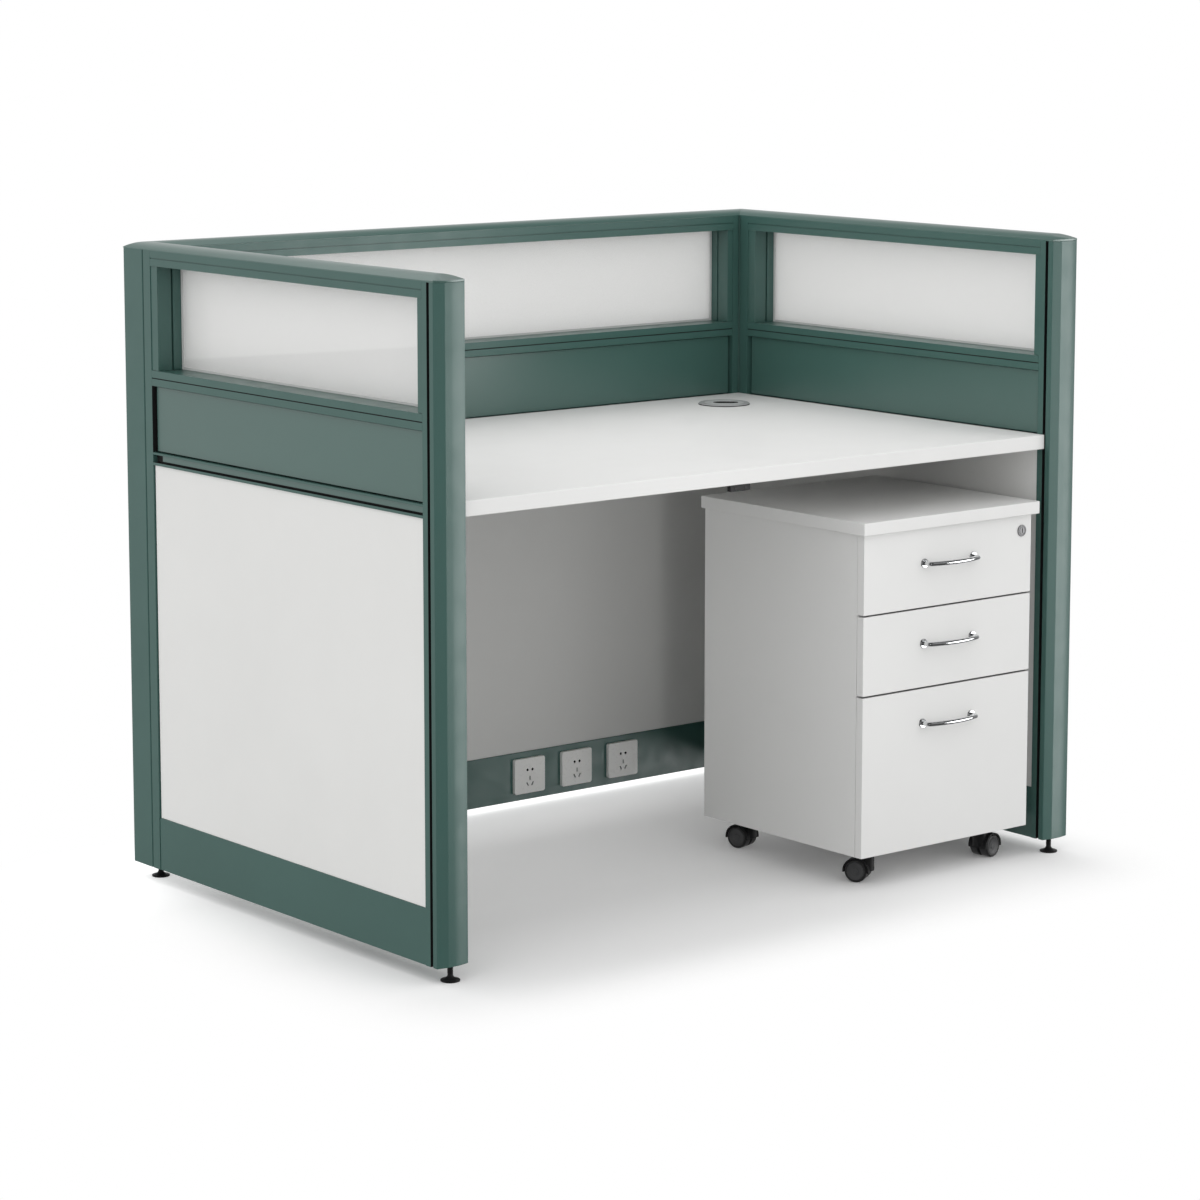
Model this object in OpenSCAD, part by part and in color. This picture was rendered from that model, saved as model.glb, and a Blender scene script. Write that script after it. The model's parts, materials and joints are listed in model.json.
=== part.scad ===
/* [Partition] */
// Width over the outer faces of the side panels
overall_w = 1390; // [1200:10:1800]
// Depth from the front of the end posts to the back panel's outer face
partition_d = 890; // [800:10:1100]
// Thickness of a panel, and the side of a square corner post
panel_t = 60; // [54:1:70]
// Gap between the floor and the underside of the panels
foot_gap = 26; // [22:1:34]

/* [Panel bands] */
// Height of the kick cover that closes the cable raceway
kick_h = 91; // [88:1:120]
// Height of the slotted rail at desk level
slot_rail_h = 21.5; // [19:0.5:30]
// Drop of the slotted rail's top below the desktop's top face
slot_rail_drop = 1.5; // [0:0.5:4]
// Height of the fascia, from the slotted rail to the rail below the window
fascia_h = 113; // [80:1:200]
// Height of the rails above and below the window
rail_h = 26; // [20:1:34]
// Height of the window opening
window_h = 176; // [120:1:220]
// Height of a top cap, crown included
cap_h = 10.5; // [7:0.5:16]
// Height of the upright edge below a top cap's arch
cap_lip = 1.5; // [1:0.5:3]

/* [Panel frame] */
// Width of the groove between a corner post and the panel beside it
joint_gap = 3; // [2:0.5:5]
// Face width of a side panel's rear stile
rear_stile_w = 21.5; // [16:0.5:30]
// Face width of a side panel's front stile
front_stile_w = 12.5; // [10:0.5:20]
// Face width of a back panel stile
back_stile_w = 13; // [10:0.5:20]
// Width of a side panel's rear window jamb
rear_jamb_w = 20; // [14:0.5:30]
// Width of a side panel's front window jamb
front_jamb_w = 12.5; // [10:0.5:20]
// Width of a back panel window jamb
back_jamb_w = 12.5; // [10:0.5:20]
// Step of a window jamb behind the stile's face
jamb_step = 1.2; // [0.6:0.2:2.4]
// Width of the channel along the middle of a window jamb
jamb_channel_w = 3.8; // [2:0.2:6]
// Depth of a jamb's channel
jamb_channel_d = 5; // [2:0.5:8]
// Width of a bead groove along a rail
bead_w = 1.8; // [1:0.2:3]
// Depth of a bead groove
bead_d = 1.4; // [0.8:0.2:2.4]
// Wall of the hollow rails
rail_wall = 2; // [1.5:0.25:3]
// Joint line between pieces that butt against each other
seam = 0.3; // [0.2:0.1:0.5]
// Thickness of the beam behind the fascias
beam_t = 27; // [20:1:32]
// Height of the rail that carries the tiles
tile_rail_h = 12; // [8:1:16]
// Height of the rail along the panel's underside
base_rail_h = 6; // [4:1:10]
// Height of the upper lip of the slotted rail
slot_lip_upper = 3.5; // [2.5:0.5:5]
// Height of the lower lip of the slotted rail
slot_lip_lower = 4.5; // [3:0.5:6]
// Depth of the channel in each face of the slotted rail
slot_depth = 8; // [6:0.5:10]

/* [Tiles and fascias] */
// Thickness of a tile
tile_t = 14; // [10:0.5:16]
// Setback of a tile behind the panel's face
tile_recess = 2.5; // [1.5:0.5:4]
// Gap round the edge of a tile
tile_gap = 2.5; // [1:0.5:4]
// Setback of a fascia behind the panel's face
fascia_recess = 6; // [4:0.5:8]
// Gap at each end of a fascia
fascia_end_gap = 6; // [3:0.5:10]
// Sheet thickness of a fascia
fascia_wall = 1.5; // [1:0.25:2.5]
// Gap below a fascia
fascia_foot_gap = 2.5; // [1:0.5:4]
// Height of the cover strip in the slotted rail
strip_h = 10; // [8:0.5:12]
// Thickness of the cover strip
strip_t = 5; // [3:0.5:6]
// Length of slotted rail left open at the rear of a cover strip
strip_end_gap = 26; // [15:1:60]
// Wall of a kick cover
kick_wall = 1.5; // [1:0.25:2.5]
// Setback of a kick cover behind the panel's face
kick_recess = 1; // [0.5:0.5:3]
// Depth of the folded top and bottom edges of a kick cover
kick_fold = 10; // [6:1:14]
// Gap at each end of a kick cover
kick_end_gap = 0.5; // [0.25:0.25:3]

/* [Glazing] */
// Thickness of the glass
glass_t = 5; // [4:0.5:8]
// Width of a glazing gasket through the panel
gasket_w = 9; // [8:0.5:14]
// Height of a glazing gasket above the frame
gasket_h = 4; // [3:0.5:6]
// Depth of the glass in the gasket
glass_bite = 2.5; // [1.5:0.5:3]
// Distance of the glass's middle from the nearer face of its panel
glass_setback = 8; // [7:0.5:30]

/* [Posts] */
// Wall of a corner post
post_wall = 2.5; // [2:0.5:4]
// Corner radius of a corner post
post_r = 2; // [1:0.5:4]
// Height of the plug that holds a foot in a corner post
post_plug_h = 22; // [16:1:40]
// Depth of an end post along the panel
end_post_d = 21; // [18:1:30]
// Width of the shadow groove behind an end cover
end_groove_w = 6; // [3:0.5:8]
// Depth of the shadow groove
end_groove_d = 10; // [6:1:14]
// Wall of an end cover
end_cover_wall = 2; // [1.5:0.25:3]
// Depth of an end cover's sloping shoulder
shoulder_d = 4; // [2:0.5:6]
// Width of an end cover's sloping shoulder
shoulder_w = 19; // [12:1:24]
// Thickness of the plate on top of an end post
end_plate_t = 3; // [2:0.5:5]
// Place behind the end post where a side cap's slope starts
cap_slope_back = 6; // [0:1:20]
// Radius of a connecting bolt's shank
bolt_r = 4; // [3:0.5:5]
// Radius of a connecting bolt's head
bolt_head_r = 6.5; // [5:0.5:8]
// Height of a connecting bolt's head
bolt_head_h = 3; // [2:0.25:3.5]
// Length of a connecting bolt in the stile
bolt_grip = 9; // [6:1:12]

/* [Levelling feet] */
// Radius of a foot's pad
foot_r = 15.5; // [12:0.5:22]
// Radius of a foot's stem
foot_stem_r = 4.8; // [4:0.2:6]
// Thickness of the pad's rim
foot_rim_h = 3; // [2:0.5:4]
// Height of the flare from rim to stem
foot_flare_h = 8; // [5:0.5:10]
// Length of stem inside the post
foot_engage = 19; // [14:1:28]
// Adjustment of a foot up or down
foot_travel = 8; // [4:1:10]
// Distance of a rear foot from the outer faces
foot_inset = 33; // [28:1:40]
// Distance of a front foot from the end post's front
front_foot_inset = 15; // [11:0.5:16]

/* [Desktop] */
// Height of the desktop's top face
desk_h = 750; // [700:5:780]
// Thickness of the desktop
desk_t = 25; // [18:1:30]
// Clearance between the desktop and the panels
desk_clear = 1; // [0.5:0.5:3]
// Setback of the desktop's front edge behind the end posts' front
desk_setback = 15; // [0:1:60]
// Distance of the grommet from the right panel
grommet_side = 143; // [80:1:300]
// Distance of the grommet from the back panel
grommet_back = 123; // [80:1:200]
// Radius of the grommet's flange
grommet_flange_r = 48; // [40:1:60]
// Height of the grommet's flange
grommet_flange_h = 3.5; // [2:0.5:5]
// Radius of the hole through the desktop
grommet_hole_r = 40; // [32:1:50]
// Length of the grommet's collar below the desktop's top face
grommet_collar = 20; // [12:1:24]
// Wall of the grommet's collar
grommet_wall = 2.5; // [2:0.5:4]
// Thickness of the grommet's lid
lid_t = 3; // [2:0.5:4]
// Length of the cable slot in the lid
lid_slot_l = 40; // [20:1:50]
// Width of the cable slot in the lid
lid_slot_w = 16; // [8:1:20]
// Distance of the cable slot's middle from the lid's, along the slot
lid_slot_shift = 3; // [0:0.5:8]
// Turn of the lid in its ring as it rests
lid_turn = -38.7; // [-90:0.1:90]
// Leg of a desk bracket under the desktop
bracket_leg = 60; // [40:1:90]
// Leg of a desk bracket down the panel
bracket_drop = 40; // [25:1:60]
// Length of a desk bracket
bracket_l = 120; // [60:5:200]
// Thickness of a desk bracket
bracket_t = 2.5; // [2:0.5:4]
// Distance of the desk brackets from the rear corners of the recess
bracket_inset = 170; // [120:5:220]
// Distance of the front desk brackets from the desktop's front edge
bracket_front = 310; // [250:5:340]
// Width of the clip under the desktop's front edge
clip_w = 43; // [30:1:60]
// Height of the clip
clip_h = 10; // [8:1:16]
// Depth of the clip
clip_d = 24; // [15:1:40]
// Distance of the clip's centre to the left of the middle
clip_offset = 70; // [0:5:200]
// Radius of a clip screw's head
clip_screw_r = 1.8; // [1:0.2:3]

/* [Sockets] */
// Width of a socket plate
socket_w = 70.5; // [60:0.5:90]
// Height of a socket plate
socket_h = 66; // [60:0.5:86]
// Thickness of a socket plate
socket_t = 7; // [5:0.5:10]
// Width of a socket's rear box
socket_box_w = 54; // [40:1:60]
// Height of a socket's rear box
socket_box_h = 50; // [36:1:56]
// Depth of a socket's rear box
socket_box_d = 18; // [12:1:22]
// Spacing of the sockets
socket_pitch = 111.7; // [90:0.1:140]
// Distance of the middle socket from the workstation's middle
socket_mid_x = 233; // [0:1:400]
// Rise of the socket plates' middle over the middle of the kick cover
socket_rise = 1; // [-8:0.5:8]
// Radius of a socket plate's corners
socket_corner_r = 4; // [1:0.5:8]
// Half spacing of a socket's round holes
socket_pin_x = 5.8; // [4:0.1:8]
// Height of the round holes over the plate's middle
socket_pin_z = 11; // [6:0.5:16]
// Half spacing of a socket's slanted slots
socket_slant_x = 5.8; // [5.4:0.1:8]
// Drop of the slanted slots below the plate's middle
socket_slant_z = 16; // [12:0.5:18]
// Turn of the slanted slots from upright
socket_slant = 30; // [0:1:40]
// Drop of the earth slot below the plate's middle
socket_earth_z = 5; // [2:0.5:7]
// Radius of a socket's pin holes
socket_pin_r = 2.4; // [1.5:0.1:3]
// Length of the socket's slanted slots
socket_slot_l = 7.5; // [5:0.5:9]
// Width of the socket's slots
socket_slot_w = 2.4; // [1.6:0.2:3]
// Depth of the pin holes
socket_pin_d = 14; // [8:1:18]

/* [Pedestal] */
// Width of the pedestal's body
ped_w = 397; // [360:1:460]
// Depth of the pedestal's top board
ped_d = 422; // [400:1:560]
// Room between the pedestal's top and the underside of the desktop
ped_clear = 88; // [30:1:120]
// Distance from the right panel's inner face to the pedestal's body
ped_side_gap = 35; // [20:1:120]
// Thickness of the top board
ped_top_t = 22; // [18:1:28]
// Overhang of the top board past each side
ped_top_side = 10; // [4:1:20]
// Overhang of the top board past the drawer fronts
ped_top_front = 11; // [4:1:20]
// Thickness of the carcass boards
board_t = 16; // [12:1:20]
// Thickness of the carcass back
ped_back_t = 9; // [6:1:16]
// Setback of the top board's front edge behind the end posts' front
ped_setback = 0; // [0:5:60]

/* [Drawers] */
// Height of each shallow drawer front
front_h = 136; // [120:1:150]
// Thickness of a drawer front
front_t = 16; // [14:1:20]
// Gap between drawer fronts
front_gap = 3; // [2:0.5:5]
// Gap between the drawer fronts and the carcass
bumper_gap = 1; // [0.5:0.25:2]
// Thickness of the drawer box sides
box_wall = 12; // [9:1:15]
// Thickness of a drawer box bottom
box_floor_t = 6; // [4:1:10]
// Clearance from a shallow box's upper edge to its front's
box_head = 40; // [32:1:60]
// Clearance from the file box's upper edge to its front's
file_box_head = 35.5; // [30:0.5:60]
// Length of a drawer box
box_l = 370; // [320:5:370]
// Height of a box's underside above its front's lower edge
box_lift = 16; // [12:1:20]
// Width of a runner between carcass and box
runner_w = 13; // [12:0.5:16]
// Height of a runner
runner_h = 38; // [30:1:46]
// Length of a runner
runner_l = 350; // [300:5:350]
// Wall of a runner's channel
runner_wall = 1.5; // [1:0.25:2]
// Running gap inside a runner
runner_clear = 0.4; // [0.2:0.1:0.6]

/* [Handles and lock] */
// Spacing of a handle's legs
handle_pitch = 116; // [96:1:160]
// Reach of a handle in front of the drawer
handle_reach = 28; // [22:1:36]
// Radius of a handle's bar
handle_r = 4; // [3:0.1:5]
// Radius of the bend from leg to bar
handle_bend_r = 12; // [8:1:16]
// Radius of the bar's bow
handle_bow_r = 180; // [140:5:400]
// Radius of a handle's rosette
rosette_r = 8.5; // [7:0.5:11]
// Thickness of a rosette
rosette_t = 3; // [2:0.5:4]
// Drop of a handle below its front's upper edge
handle_drop = 60; // [40:1:70]
// Radius of the lock's flange
lock_flange_r = 10.3; // [9:0.1:12]
// Radius of the lock's body
lock_body_r = 8; // [7:0.25:9]
// Radius of the lock's turning barrel
barrel_r = 6; // [5:0.25:6.5]
// Thickness of the lock's flange
lock_flange_t = 2; // [1.5:0.25:3]
// Distance of the lock from the pedestal's right side
lock_side = 23.4; // [22:0.2:60]
// Drop of the lock below the top board
lock_drop = 28; // [22:1:30]
// Offset of the pin that drives the locking bar
cam_offset = 4; // [2.5:0.25:4.25]

/* [Castors] */
// Height of the carcass's underside above the floor
castor_h = 58; // [56:1:70]
// Radius of a castor wheel
wheel_r = 20; // [16:0.5:20]
// Width over a castor's twin wheels
castor_w = 38; // [32:1:44]
// Offset of the axle behind the swivel pin
castor_trail = 15; // [10:0.5:18]
// Wall of the hood
hood_wall = 2.5; // [2:0.25:3.5]
// Gap between wheels and hood
hood_gap = 0.8; // [0.5:0.1:1.5]
// Thickness of the web between the wheels
web_t = 4; // [3:0.5:6]
// Radius of the axle
axle_r = 3; // [2.5:0.25:4]
// Radius of the swivel pin
kingpin_r = 4; // [3:0.25:5]
// Radius of the swivel seat
seat_r = 13; // [11:0.5:16]
// Thickness of a castor's mounting plate
castor_plate_t = 3; // [2:0.5:4]
// Side of a castor's mounting plate
castor_plate_w = 42; // [36:1:56]
// Distance of a swivel pin from the pedestal's side
castor_side = 62; // [45:1:90]
// Distance of a swivel pin from the drawer fronts, and from the rear
castor_end = 52; // [46:1:90]

/* [Hidden] */
$fn = 64;
// Radial clearance of a shaft in its bore
fit = 0.05;
// Face clearance between pieces that turn or slide on each other
turn_gap = 0.3;
// Overrun of a cut past the surface that it opens
over = 1;
// Heading of each castor's trail from +X: front left, rear left, front right, rear right
castor_heading = [120.7, 106.3, 10, 75];
// Share of the panel's length where the connecting bolts sit, counted up its height
bolt_shares = [0.12, 0.5, 0.75];
// Places of the three socket plates, in steps of the socket spacing
socket_steps = [-1, 0, 1];
// Step in radius from a handle's bends to its bar and legs
bend_step = 0.1;
// Number of steps in a foot's flare
flare_steps = 10;

// Handles stand this far in front of the end posts
front_reach = handle_reach - ped_top_front - ped_setback;
overall_d = partition_d + front_reach;
back_y = overall_d / 2;
front_y = back_y - partition_d;
side_x = overall_w / 2;
inner_x = side_x - panel_t;
inner_y = back_y - panel_t;
face = panel_t / 2;

// Levels up a panel
kick_top = foot_gap + kick_h;
slot_top = desk_h - slot_rail_drop;
slot_low = slot_top - slot_rail_h;
sill_z = slot_top + fascia_h;
window_z = sill_z + rail_h;
top_rail_z = window_z + window_h;
cap_z = top_rail_z + rail_h;
partition_h = cap_z + cap_h;
desk_low = desk_h - desk_t;

// Lengths of the panels between their posts
back_len = overall_w - 2 * panel_t;
side_len = partition_d - panel_t - end_post_d;
// What lies at a panel's end: groove, stile face, jamb
rear_end = [joint_gap, rear_stile_w, rear_jamb_w];
front_end = [0, front_stile_w, front_jamb_w];
back_end = [joint_gap, back_stile_w, back_jamb_w];

tile_face = face - tile_recess;
kick_face = face - kick_recess;
carcass_face = kick_face - kick_wall;
lip_face = face - slot_depth;
glass_v = face - glass_setback;

// Pedestal, from the top board's front edge backwards
ped_front_y = front_y + ped_setback;
drawer_y = ped_front_y + ped_top_front;
carcass_y = drawer_y + front_t + bumper_gap;
ped_rear_y = ped_front_y + ped_d;
ped_right = inner_x - ped_side_gap;
ped_left = ped_right - ped_w;
ped_mid = (ped_left + ped_right) / 2;
ped_h = desk_low - ped_clear;
ped_under_top = ped_h - ped_top_t;
upper_front_z = ped_under_top - front_gap / 2 - front_h;
middle_front_z = upper_front_z - front_gap - front_h;
lower_front_z = castor_h;
lower_front_h = middle_front_z - front_gap - castor_h;
box_h = front_h - box_lift - box_head;
file_box_h = lower_front_h - box_lift - board_t - file_box_head;
inner_w = ped_w - 2 * board_t;
box_w = inner_w - 2 * runner_w;

lock_x = ped_right - lock_side;
lock_z = ped_under_top - lock_drop;
cam_pin_r = barrel_r - cam_offset - turn_gap;

// Centre of the bar's bow and angle over which it runs
bow_half = handle_pitch / 2 - handle_bend_r;
bow_angle = asin(bow_half / (handle_bow_r - handle_bend_r));
bar_r = handle_r - bend_step;
bow_centre = handle_bow_r - (handle_reach - bar_r);
bend_y = bow_centre - (handle_bow_r - handle_bend_r) * cos(bow_angle);
bow_lap = over / handle_bow_r * 180 / PI;

hood_r = wheel_r + hood_gap + hood_wall;
seat_top = castor_h - castor_plate_t - turn_gap;
wheel_w = castor_w / 2 - web_t / 2 - turn_gap;
boss_r = kingpin_r + castor_plate_t;
boss_h = board_t * 3 / 4;
castor_xs = [ped_left + castor_side, ped_right - castor_side];
castor_ys = [drawer_y + castor_end, ped_rear_y - castor_end];

grommet_x = inner_x - grommet_side;
grommet_y = inner_y - grommet_back;
collar_in_r = grommet_hole_r - turn_gap - grommet_wall;
lid_r = collar_in_r - turn_gap;
lid_top = desk_h + grommet_flange_h - turn_gap;
clip_screw_x = clip_w / 4;
clip_screw_h = clip_screw_r / 3;
desk_front_y = front_y + desk_setback;

// Colours, as the photograph shows them
module green() { color("#5f756f") children(); }
module light() { color("#dededc") children(); }
module white() { color("#f0f0ee") children(); }
module black() { color("#1c1d1d") children(); }
module clear() { color("#dfe2e1", 0.6) children(); }
module grey() { color("#a9aaa8") children(); }
module bright() { color("#c9cccb") children(); }

// Placing of the panels. A panel runs along +X from its rear or left end, with its
// outer face to +Y, before it is placed.
module at_back() { translate([-back_len / 2, back_y - face, 0]) children(); }
module at_right() { translate([side_x - face, inner_y, 0]) rotate(-90) children(); }
module at_left() { mirror([1, 0, 0]) at_right() children(); }

// A profile in depth and height, drawn along the panel from one place to another
module along(from, to) {
    translate([from, 0, 0]) rotate([90, 0, 90]) linear_extrude(height = to - from) children();
}

// A block in a panel: length, depth and height each from a low to a high value
module slab(u, v, w) {
    translate([u[0], v[0], w[0]]) cube([u[1] - u[0], v[1] - v[0], w[1] - w[0]]);
}

module rect(v, w) { translate([v[0], w[0]]) square([v[1] - v[0], w[1] - w[0]]); }

// Both faces of a panel
module both_faces() {
    children();
    mirror([0, 1, 0]) children();
}

// A panel's frame, of hollow rails between two stiles
module hollow(v, w) {
    difference() {
        rect(v, w);
        rect([v[0] + rail_wall, v[1] - rail_wall], [w[0] + rail_wall, w[1] - rail_wall]);
    }
}

module rail(from, to, low, high) {
    along(from, to) difference() {
        hollow([-face, face], [low, high]);
        for (side = [-1, 1])
            translate([side * face, (low + high) / 2]) square([2 * bead_d, bead_w], center = true);
    }
}

module slot_rail(from, to) {
    channel = [slot_low + slot_lip_lower, slot_top - slot_lip_upper];
    along(from, to) difference() {
        rect([-face, face], [slot_low, slot_top]);
        rect([lip_face, face + over], channel);
        rect([-face - over, -lip_face], channel);
        rect([rail_wall - lip_face, lip_face - rail_wall],
            [slot_low + rail_wall, slot_top - rail_wall]);
    }
}

module stile(end) {
    slab([end[0], end[0] + end[1]], [-face, face], [foot_gap, cap_z]);
    if (end[0] > 0) slab([0, end[0]], [-carcass_face, carcass_face], [foot_gap, cap_z]);
}

module jamb(end) {
    outer = end[0] + end[1] + seam;
    inner = outer + end[2] - seam;
    difference() {
        slab([outer, inner], [-face + jamb_step, face - jamb_step],
            [window_z + seam, top_rail_z - seam]);
        slab([inner - jamb_channel_d, inner + over], [-jamb_channel_w / 2, jamb_channel_w / 2],
            [window_z, top_rail_z]);
    }
}

// Bolt holes through a stile into the post beside it
module bolt_rows(at, turn) {
    for (share = bolt_shares)
        translate([at, 0, foot_gap + share * (cap_z - foot_gap)]) rotate([0, turn, 0]) children();
}

module bolt_hole(end) {
    reach = end[0] + end[1];
    translate([0, 0, -over]) cylinder(r = bolt_r + fit, h = reach + 2 * over);
    translate([0, 0, bolt_grip]) cylinder(r = bolt_head_r + fit, h = reach);
}

module bolt() {
    translate([0, 0, -post_wall]) cylinder(r = bolt_r, h = post_wall + bolt_grip);
    translate([0, 0, bolt_grip]) cylinder(r = bolt_head_r, h = bolt_head_h);
}

module frame(length, start, end) {
    first = start[0] + start[1] + seam;
    last = length - end[0] - end[1] - seam;
    difference() {
        stile(start);
        bolt_rows(0, 90) bolt_hole(start);
    }
    difference() {
        translate([length, 0, 0]) mirror([1, 0, 0]) stile(end);
        bolt_rows(length, -90) bolt_hole(end);
    }
    jamb(start);
    translate([length, 0, 0]) mirror([1, 0, 0]) jamb(end);
    rail(first, last, top_rail_z, cap_z);
    rail(first, last, sill_z, window_z);
    along(first, last) hollow([-beam_t / 2, beam_t / 2], [slot_top + seam, sill_z - seam]);
    slot_rail(first, last);
    slab([first, last], [-carcass_face, carcass_face], [kick_top - tile_rail_h, kick_top]);
    slab([first, last], [-carcass_face, carcass_face], [foot_gap, foot_gap + base_rail_h]);
}

module left_frame() { green() at_left() frame(side_len, rear_end, front_end); }
module right_frame() { green() at_right() frame(side_len, rear_end, front_end); }
module back_frame() { green() at_back() frame(back_len, back_end, back_end); }

// Top caps: an arch over the panel, mitred at the rear corners
module arch() {
    rise = cap_h - cap_lip;
    arch_r = (face * face + rise * rise) / (2 * rise);
    intersection() {
        rect([-face, face], [cap_z, partition_h]);
        translate([0, partition_h - arch_r]) circle(r = arch_r, $fn = 180);
    }
}

// What lies under the slope that a side cap ends in
module under_slope() {
    translate([0, panel_t, 0]) rotate([90, 0, 0]) linear_extrude(height = 2 * panel_t) polygon([
        [-panel_t - over, cap_z - over], [side_len + end_post_d, cap_z - over],
        [side_len + end_post_d, cap_z + end_plate_t / 3],
        [side_len - cap_slope_back, partition_h], [side_len - cap_slope_back, partition_h + over],
        [-panel_t - over, partition_h + over]
    ]);
}

module side_cap() {
    intersection() {
        at_right() along(-panel_t, side_len + end_post_d) arch();
        union() {
            translate([0, 0, cap_z]) linear_extrude(height = cap_h) polygon([
                [side_x, back_y], [side_x, inner_y - side_len],
                [inner_x, inner_y - side_len], [inner_x, inner_y]
            ]);
            at_right() translate([side_len - over, 0, cap_z]) linear_extrude(height = cap_h)
                end_outline();
        }
        at_right() under_slope();
    }
    at_right() translate([side_len, 0, cap_z - end_plate_t / 3]) linear_extrude(height = end_plate_t)
        end_outline();
}

module left_cap() { green() mirror([1, 0, 0]) side_cap(); }
module right_cap() { green() side_cap(); }
module back_cap() {
    green() intersection() {
        at_back() along(-panel_t, back_len + panel_t) arch();
        translate([0, 0, cap_z]) linear_extrude(height = cap_h) polygon([
            [-side_x, back_y], [side_x, back_y], [inner_x, inner_y], [-inner_x, inner_y]
        ]);
    }
}

// Glass and its gaskets, with the depth of their middle in the panel
module glass(length, start, end, v) {
    edge = gasket_h - glass_bite;
    first = start[0] + start[1] + start[2] + edge;
    last = length - end[0] - end[1] - end[2] - edge;
    slab([first, last], [v - glass_t / 2, v + glass_t / 2], [window_z + edge, top_rail_z - edge]);
}

module gaskets(length, start, end, v) {
    first = start[0] + start[1] + start[2];
    last = length - end[0] - end[1] - end[2];
    thick = [v - gasket_w / 2, v + gasket_w / 2];
    difference() {
        for (at = [first, last - gasket_h]) slab([at, at + gasket_h], thick, [window_z, top_rail_z]);
        glass(length, start, end, v);
    }
    difference() {
        for (at = [window_z, top_rail_z - gasket_h])
            slab([first + gasket_h, last - gasket_h], thick, [at, at + gasket_h]);
        glass(length, start, end, v);
    }
}

module left_glass() { clear() at_left() glass(side_len, rear_end, front_end, -glass_v); }
module right_glass() { clear() at_right() glass(side_len, rear_end, front_end, glass_v); }
module back_glass() { clear() at_back() glass(back_len, back_end, back_end, glass_v); }
module glazing_gaskets() {
    light() {
        at_left() gaskets(side_len, rear_end, front_end, -glass_v);
        at_right() gaskets(side_len, rear_end, front_end, glass_v);
        at_back() gaskets(back_len, back_end, back_end, glass_v);
    }
}

// Sheet folded back at its top and bottom, drawn in depth and height
module tray(outer, wall, inner, low, high) {
    rect([outer - wall, outer], [low, high]);
    rect([inner, outer - wall / 2], [low, low + wall]);
    rect([inner, outer - wall / 2], [high - wall, high]);
}

// Fascias on both faces, with the cover strip of the outer slotted channel
module fascias(length, start, end) {
    first = start[0] + start[1];
    last = length - end[0] - end[1];
    both_faces() along(first + fascia_end_gap, last - fascia_end_gap)
        tray(face - fascia_recess, fascia_wall, beam_t / 2, slot_top + fascia_foot_gap, sill_z);
    strip_top = slot_top - slot_lip_upper;
    slab([first + strip_end_gap, last], [lip_face, lip_face + strip_t],
        [strip_top - strip_h, strip_top]);
}

module left_fascias() { green() at_left() fascias(side_len, rear_end, front_end); }
module right_fascias() { green() at_right() fascias(side_len, rear_end, front_end); }
module back_fascias() { green() at_back() fascias(back_len, back_end, back_end); }

// Tiles on both faces, standing on the tile rail
module tiles(length, start, end) {
    first = start[0] + start[1];
    last = length - end[0] - end[1];
    both_faces() slab([first + tile_gap, last - tile_gap],
        [tile_face - tile_t, tile_face], [kick_top, slot_low]);
}

module left_tiles() { light() at_left() tiles(side_len, rear_end, front_end); }
module right_tiles() { light() at_right() tiles(side_len, rear_end, front_end); }
module back_tiles() { light() at_back() tiles(back_len, back_end, back_end); }

// Kick covers: folded sheet that clips over the two lower rails
module kick_cover(length, start, end) {
    first = start[0] + start[1] + kick_end_gap;
    last = length - end[0] - end[1] - kick_end_gap;
    inner = carcass_face - kick_fold;
    along(first, last) {
        rect([carcass_face, kick_face], [foot_gap, kick_top]);
        tray(kick_face, kick_wall, inner, foot_gap + base_rail_h, kick_top - tile_rail_h);
    }
}

module left_kick_covers() {
    green() at_left() both_faces() kick_cover(side_len, rear_end, front_end);
}
module right_kick_covers() {
    green() at_right() both_faces() kick_cover(side_len, rear_end, front_end);
}
module back_kick_covers() {
    green() at_back() {
        kick_cover(back_len, back_end, back_end);
        difference() {
            mirror([0, 1, 0]) kick_cover(back_len, back_end, back_end);
            at_sockets() slab([-socket_box_w / 2 - turn_gap, socket_box_w / 2 + turn_gap],
                [-kick_face - over, -carcass_face + over],
                [-socket_box_h / 2 - turn_gap, socket_box_h / 2 + turn_gap]);
        }
    }
}

// Sockets, drawn in the back panel's own frame
module at_sockets() {
    for (step = socket_steps)
        translate([back_len / 2 + socket_mid_x + step * socket_pitch, 0, foot_gap + kick_h / 2 + socket_rise])
            children();
}

module pin_slot(x, z, turn) {
    translate([x, z, 0]) rotate(turn)
        translate([-socket_slot_w / 2, -socket_slot_l / 2, 0])
            cube([socket_slot_w, socket_slot_l, socket_pin_d]);
}

module socket() {
    rear = -kick_face;
    difference() {
        union() {
            translate([0, rear, 0]) rotate([90, 0, 0]) linear_extrude(height = socket_t)
                rounded(socket_w, socket_h, socket_corner_r);
            slab([-socket_box_w / 2, socket_box_w / 2], [rear - over, rear + socket_box_d],
                [-socket_box_h / 2, socket_box_h / 2]);
        }
        translate([0, rear - socket_t - over, 0]) rotate([-90, 0, 0]) {
            for (side = [-1, 1]) {
                translate([side * socket_pin_x, -socket_pin_z, 0])
                    cylinder(r = socket_pin_r, h = socket_pin_d);
                pin_slot(side * socket_slant_x, socket_slant_z, side * socket_slant);
            }
            pin_slot(0, socket_earth_z, 0);
        }
    }
}

module sockets() { white() at_back() at_sockets() socket(); }

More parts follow.
